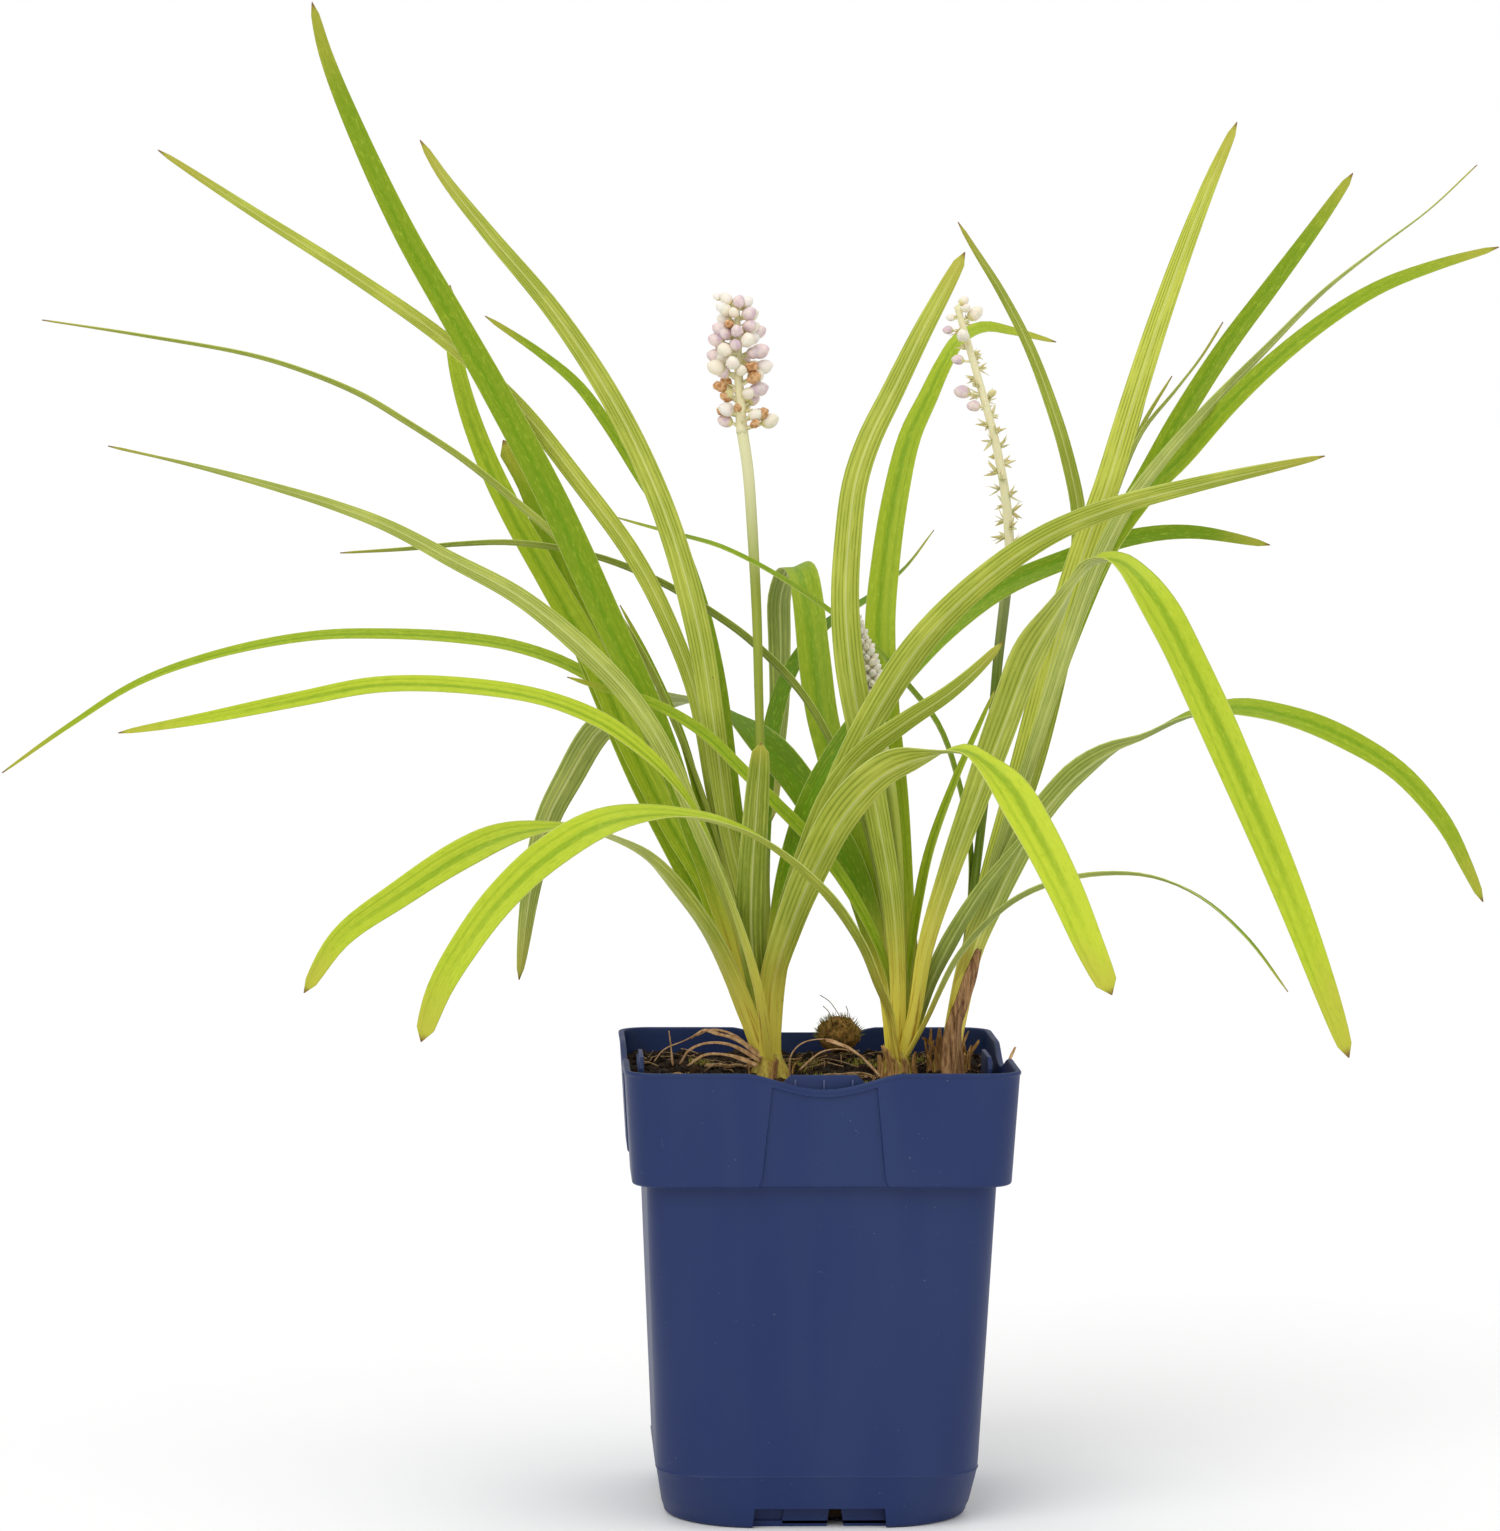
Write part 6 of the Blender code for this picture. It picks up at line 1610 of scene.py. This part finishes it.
def make_crown_scraps(look):
    """The torn brown wraps that old leaves leave round a crown."""
    shape = Shape()
    draw = random.Random(SEEDS["scraps"])
    for name, (count, least, most) in CROWN_SCRAPS.items():
        crown = CROWNS[name]
        for k in range(count):
            a = 2 * math.pi * (k + draw.uniform(-0.3, 0.3)) / count
            out = Vector((math.cos(a), math.sin(a), 0))
            tall = draw.uniform(least, most) * MM
            lean = draw.uniform(-0.05, 0.3)
            edge = Vector((crown.centre.x + out.x * crown.half.x * 0.98,
                           crown.centre.y + out.y * crown.half.y * 0.98,
                           soil_height(*crown.centre)))
            swerve = out.orthogonal() * draw.uniform(-0.25, 0.25) * tall
            curve = smooth_curve([edge - Vector((0, 0, 4 * MM)), edge + out * 0.3 * MM,
                                  edge + Vector((0, 0, tall * 0.5)) + out * lean * tall * 0.3,
                                  edge + Vector((0, 0, tall)) + out * lean * tall + swerve], 0.9 * MM)
            add_rolled(shape, curve, draw.uniform(2.2, 5.0) * MM, 0.25 * MM,
                       math.radians(draw.uniform(70, 170)), draw, taper=0.75, ragged=0.5,
                       facing=out)
    shape.piece("crown_scraps", look)


# Straw on the soil: width in mm, and the line as seen
STRAWS = [
    (3.6, [(762, 1058, -6), (738, 1041, -5), (717, 1034, -3), (704, 1031, 0), (692, 1038, 3)]),
    (2.8, [(760, 1062, -7), (735, 1047, -7), (712, 1043, -5), (690, 1050, -2), (680, 1064, 0)]),
    (2.4, [(758, 1056, -4), (733, 1035, -2), (712, 1030, 2), (697, 1036, 6)]),
    (3.0, [(757, 1066, -9), (730, 1056, -9), (706, 1055, -8), (688, 1066, -6)]),
    (0.8, [(654, 1062, 4), (664, 1050, 3), (684, 1041, 2), (706, 1031, 1), (728, 1033, 0)]),
    (1.3, [(673, 1066, 0), (671, 1048, 0), (669, 1031, -1)]),
    (0.9, [(790, 1082, -18), (791, 1056, -19), (803, 1043, -19), (832, 1040, -18), (852, 1052, -17)]),
    (2.7, [(826, 1041, -20), (843, 1046, -20), (860, 1056, -19), (881, 1078, -18)]),
    (1.1, [(800, 1070, -15), (822, 1052, -16), (846, 1050, -15), (868, 1062, -13)]),
    (2.6, [(1003, 1084, -16), (1009, 1062, -14), (1015, 1048, -12)]),
]


def make_straws(look):
    shape = Shape()
    draw = random.Random(SEEDS["straws"])
    for width, seen in STRAWS:
        curve = smooth_curve([seen_at(*p) for p in seen], 0.9 * MM)
        add_rolled(shape, curve, width * MM, 0.25 * MM, math.radians(60), draw, taper=0.5,
                   ragged=0.4, facing=Vector((-0.1, -0.6, 0.8)))
    shape.piece("straws", look)


# Roots that lie on the soil: where each passes, in mm
SURFACE_ROOTS = {
    "root_left": [(-22, -13), (-27, -8), (-33, -11), (-39, -6), (-45, -9)],
    "root_middle": [(-4, -22), (0, -15), (6, -12), (12, -14), (16, -20)],
    "root_back": [(-30, 16), (-23, 10), (-16, 13), (-9, 9), (-3, 12)],
}


def make_roots(look):
    """The model's surface roots as frayed strands."""
    draw = random.Random(SEEDS["roots"])
    for name, path in SURFACE_ROOTS.items():
        shape = Shape()
        flat = smooth_curve([Vector((x, y, 0)) * MM for x, y in path], 1.2 * MM)
        last = len(flat) - 1
        for strand in range(5):
            seed = draw.uniform(0, 40)
            curve = []
            for i, point in enumerate(flat):
                near = [soil_height(point.x + dx, point.y + dy)
                        for dx in (-1.2 * MM, 0, 1.2 * MM) for dy in (-1.2 * MM, 0, 1.2 * MM)]
                drift = noise.noise_vector(Vector((seed + i * 0.12, strand, 0))) * 1.0 * MM
                curve.append(Vector((point.x, point.y, max(near) + ROOT_RADIUS + GAP)) + drift)
            radii = [(0.34 if strand else 0.55) * MM * (1.0 - 0.6 * i / last) for i in range(last + 1)]
            shade = draw.random()
            shape.tube(curve, radii, 7, lambda share: (0, share, shade))
        shape.piece("strands_" + name[5:], look, [name])


def sun_light(name, strength, place, spread):
    """A broad soft light from the direction of place."""
    light = bpy.data.lights.new(name, "SUN")
    light.energy = strength
    light.angle = math.radians(spread)
    obj = linked(name, light)
    obj.location = place
    obj.rotation_euler = (-Vector(place)).to_track_quat("-Z", "Y").to_euler()


def make_stage():
    """A pale floor, soft lights, and a surround that shows white and lights more gently."""
    bpy.context.scene.view_settings.view_transform = "Standard"
    mesh = bpy.data.meshes.new("floor")
    corners = ((-1, -1), (1, -1), (1, 1), (-1, 1))
    mesh.from_pydata([(x * FLOOR_REACH, y * FLOOR_REACH, 0) for x, y in corners], [], [(0, 1, 2, 3)])
    look = Look("floor", roughness=0.9, specular=0.0)
    look.colour(FLOOR_WHITE)
    mesh.materials.append(look.material)
    linked("floor", mesh)
    world = bpy.data.worlds.new("studio")
    bpy.context.scene.world = world
    world.use_nodes = True
    nodes, links = world.node_tree.nodes, world.node_tree.links
    nodes["Background"].inputs["Color"].default_value = (1.0, 1.0, 1.0, 1.0)
    seen = nodes.new("ShaderNodeLightPath")
    strength = nodes.new("ShaderNodeMapRange")
    strength.inputs["To Min"].default_value = AMBIENT
    strength.inputs["To Max"].default_value = 1.0
    links.new(seen.outputs["Is Camera Ray"], strength.inputs["Value"])
    links.new(strength.outputs[0], nodes["Background"].inputs["Strength"])
    for sun in SUNS:
        sun_light(*sun)


def make_camera():
    data = bpy.data.cameras.new("camera")
    data.sensor_fit = "AUTO"
    data.sensor_width = SENSOR
    data.lens = FOCAL_PX * SENSOR / max(PICTURE)
    camera = linked("camera", data)
    level = FORWARD.to_track_quat("-Z", "Y")
    camera.rotation_mode = "QUATERNION"
    camera.rotation_quaternion = level @ Quaternion((0, 0, 1), -ROLL)
    camera.location = EYE
    bpy.context.scene.camera = camera


def main():
    noise.seed_set(NOISE_SEED)
    make_camera()
    make_stage()
    leaf, stalk, petal = leaf_look(), stalk_look(), petal_look()
    plastic, earth, moss = plastic_look(), earth_look(), moss_look()
    fibre = fibre_look("root_fibre", *ROOT_TONES)
    papery = fibre_look("dry_sheath", *SHEATH_TONES)
    scrap = fibre_look("crown_scrap", *SCRAP_TONES)
    straw = fibre_look("straw", *STRAW_TONES)
    foot = fibre_look("crown_skin", *CROWN_TONES, bump=0.15)
    make_pot(plastic)
    make_soil(earth)
    make_crumbs(earth)
    make_fibres(fibre)
    make_chips(fibre)
    make_moss(moss)
    make_moss_patches(moss)
    for name, crown in CROWNS.items():
        make_leaves(name, crown, leaf)
        make_stalk(name, crown, stalk)
        make_crown(name, crown, foot)
    make_left_head(petal)
    make_middle_head(petal)
    make_right_head(petal)
    make_sheath(papery)
    make_crown_scraps(scrap)
    make_straws(straw)
    make_roots(fibre)


main()
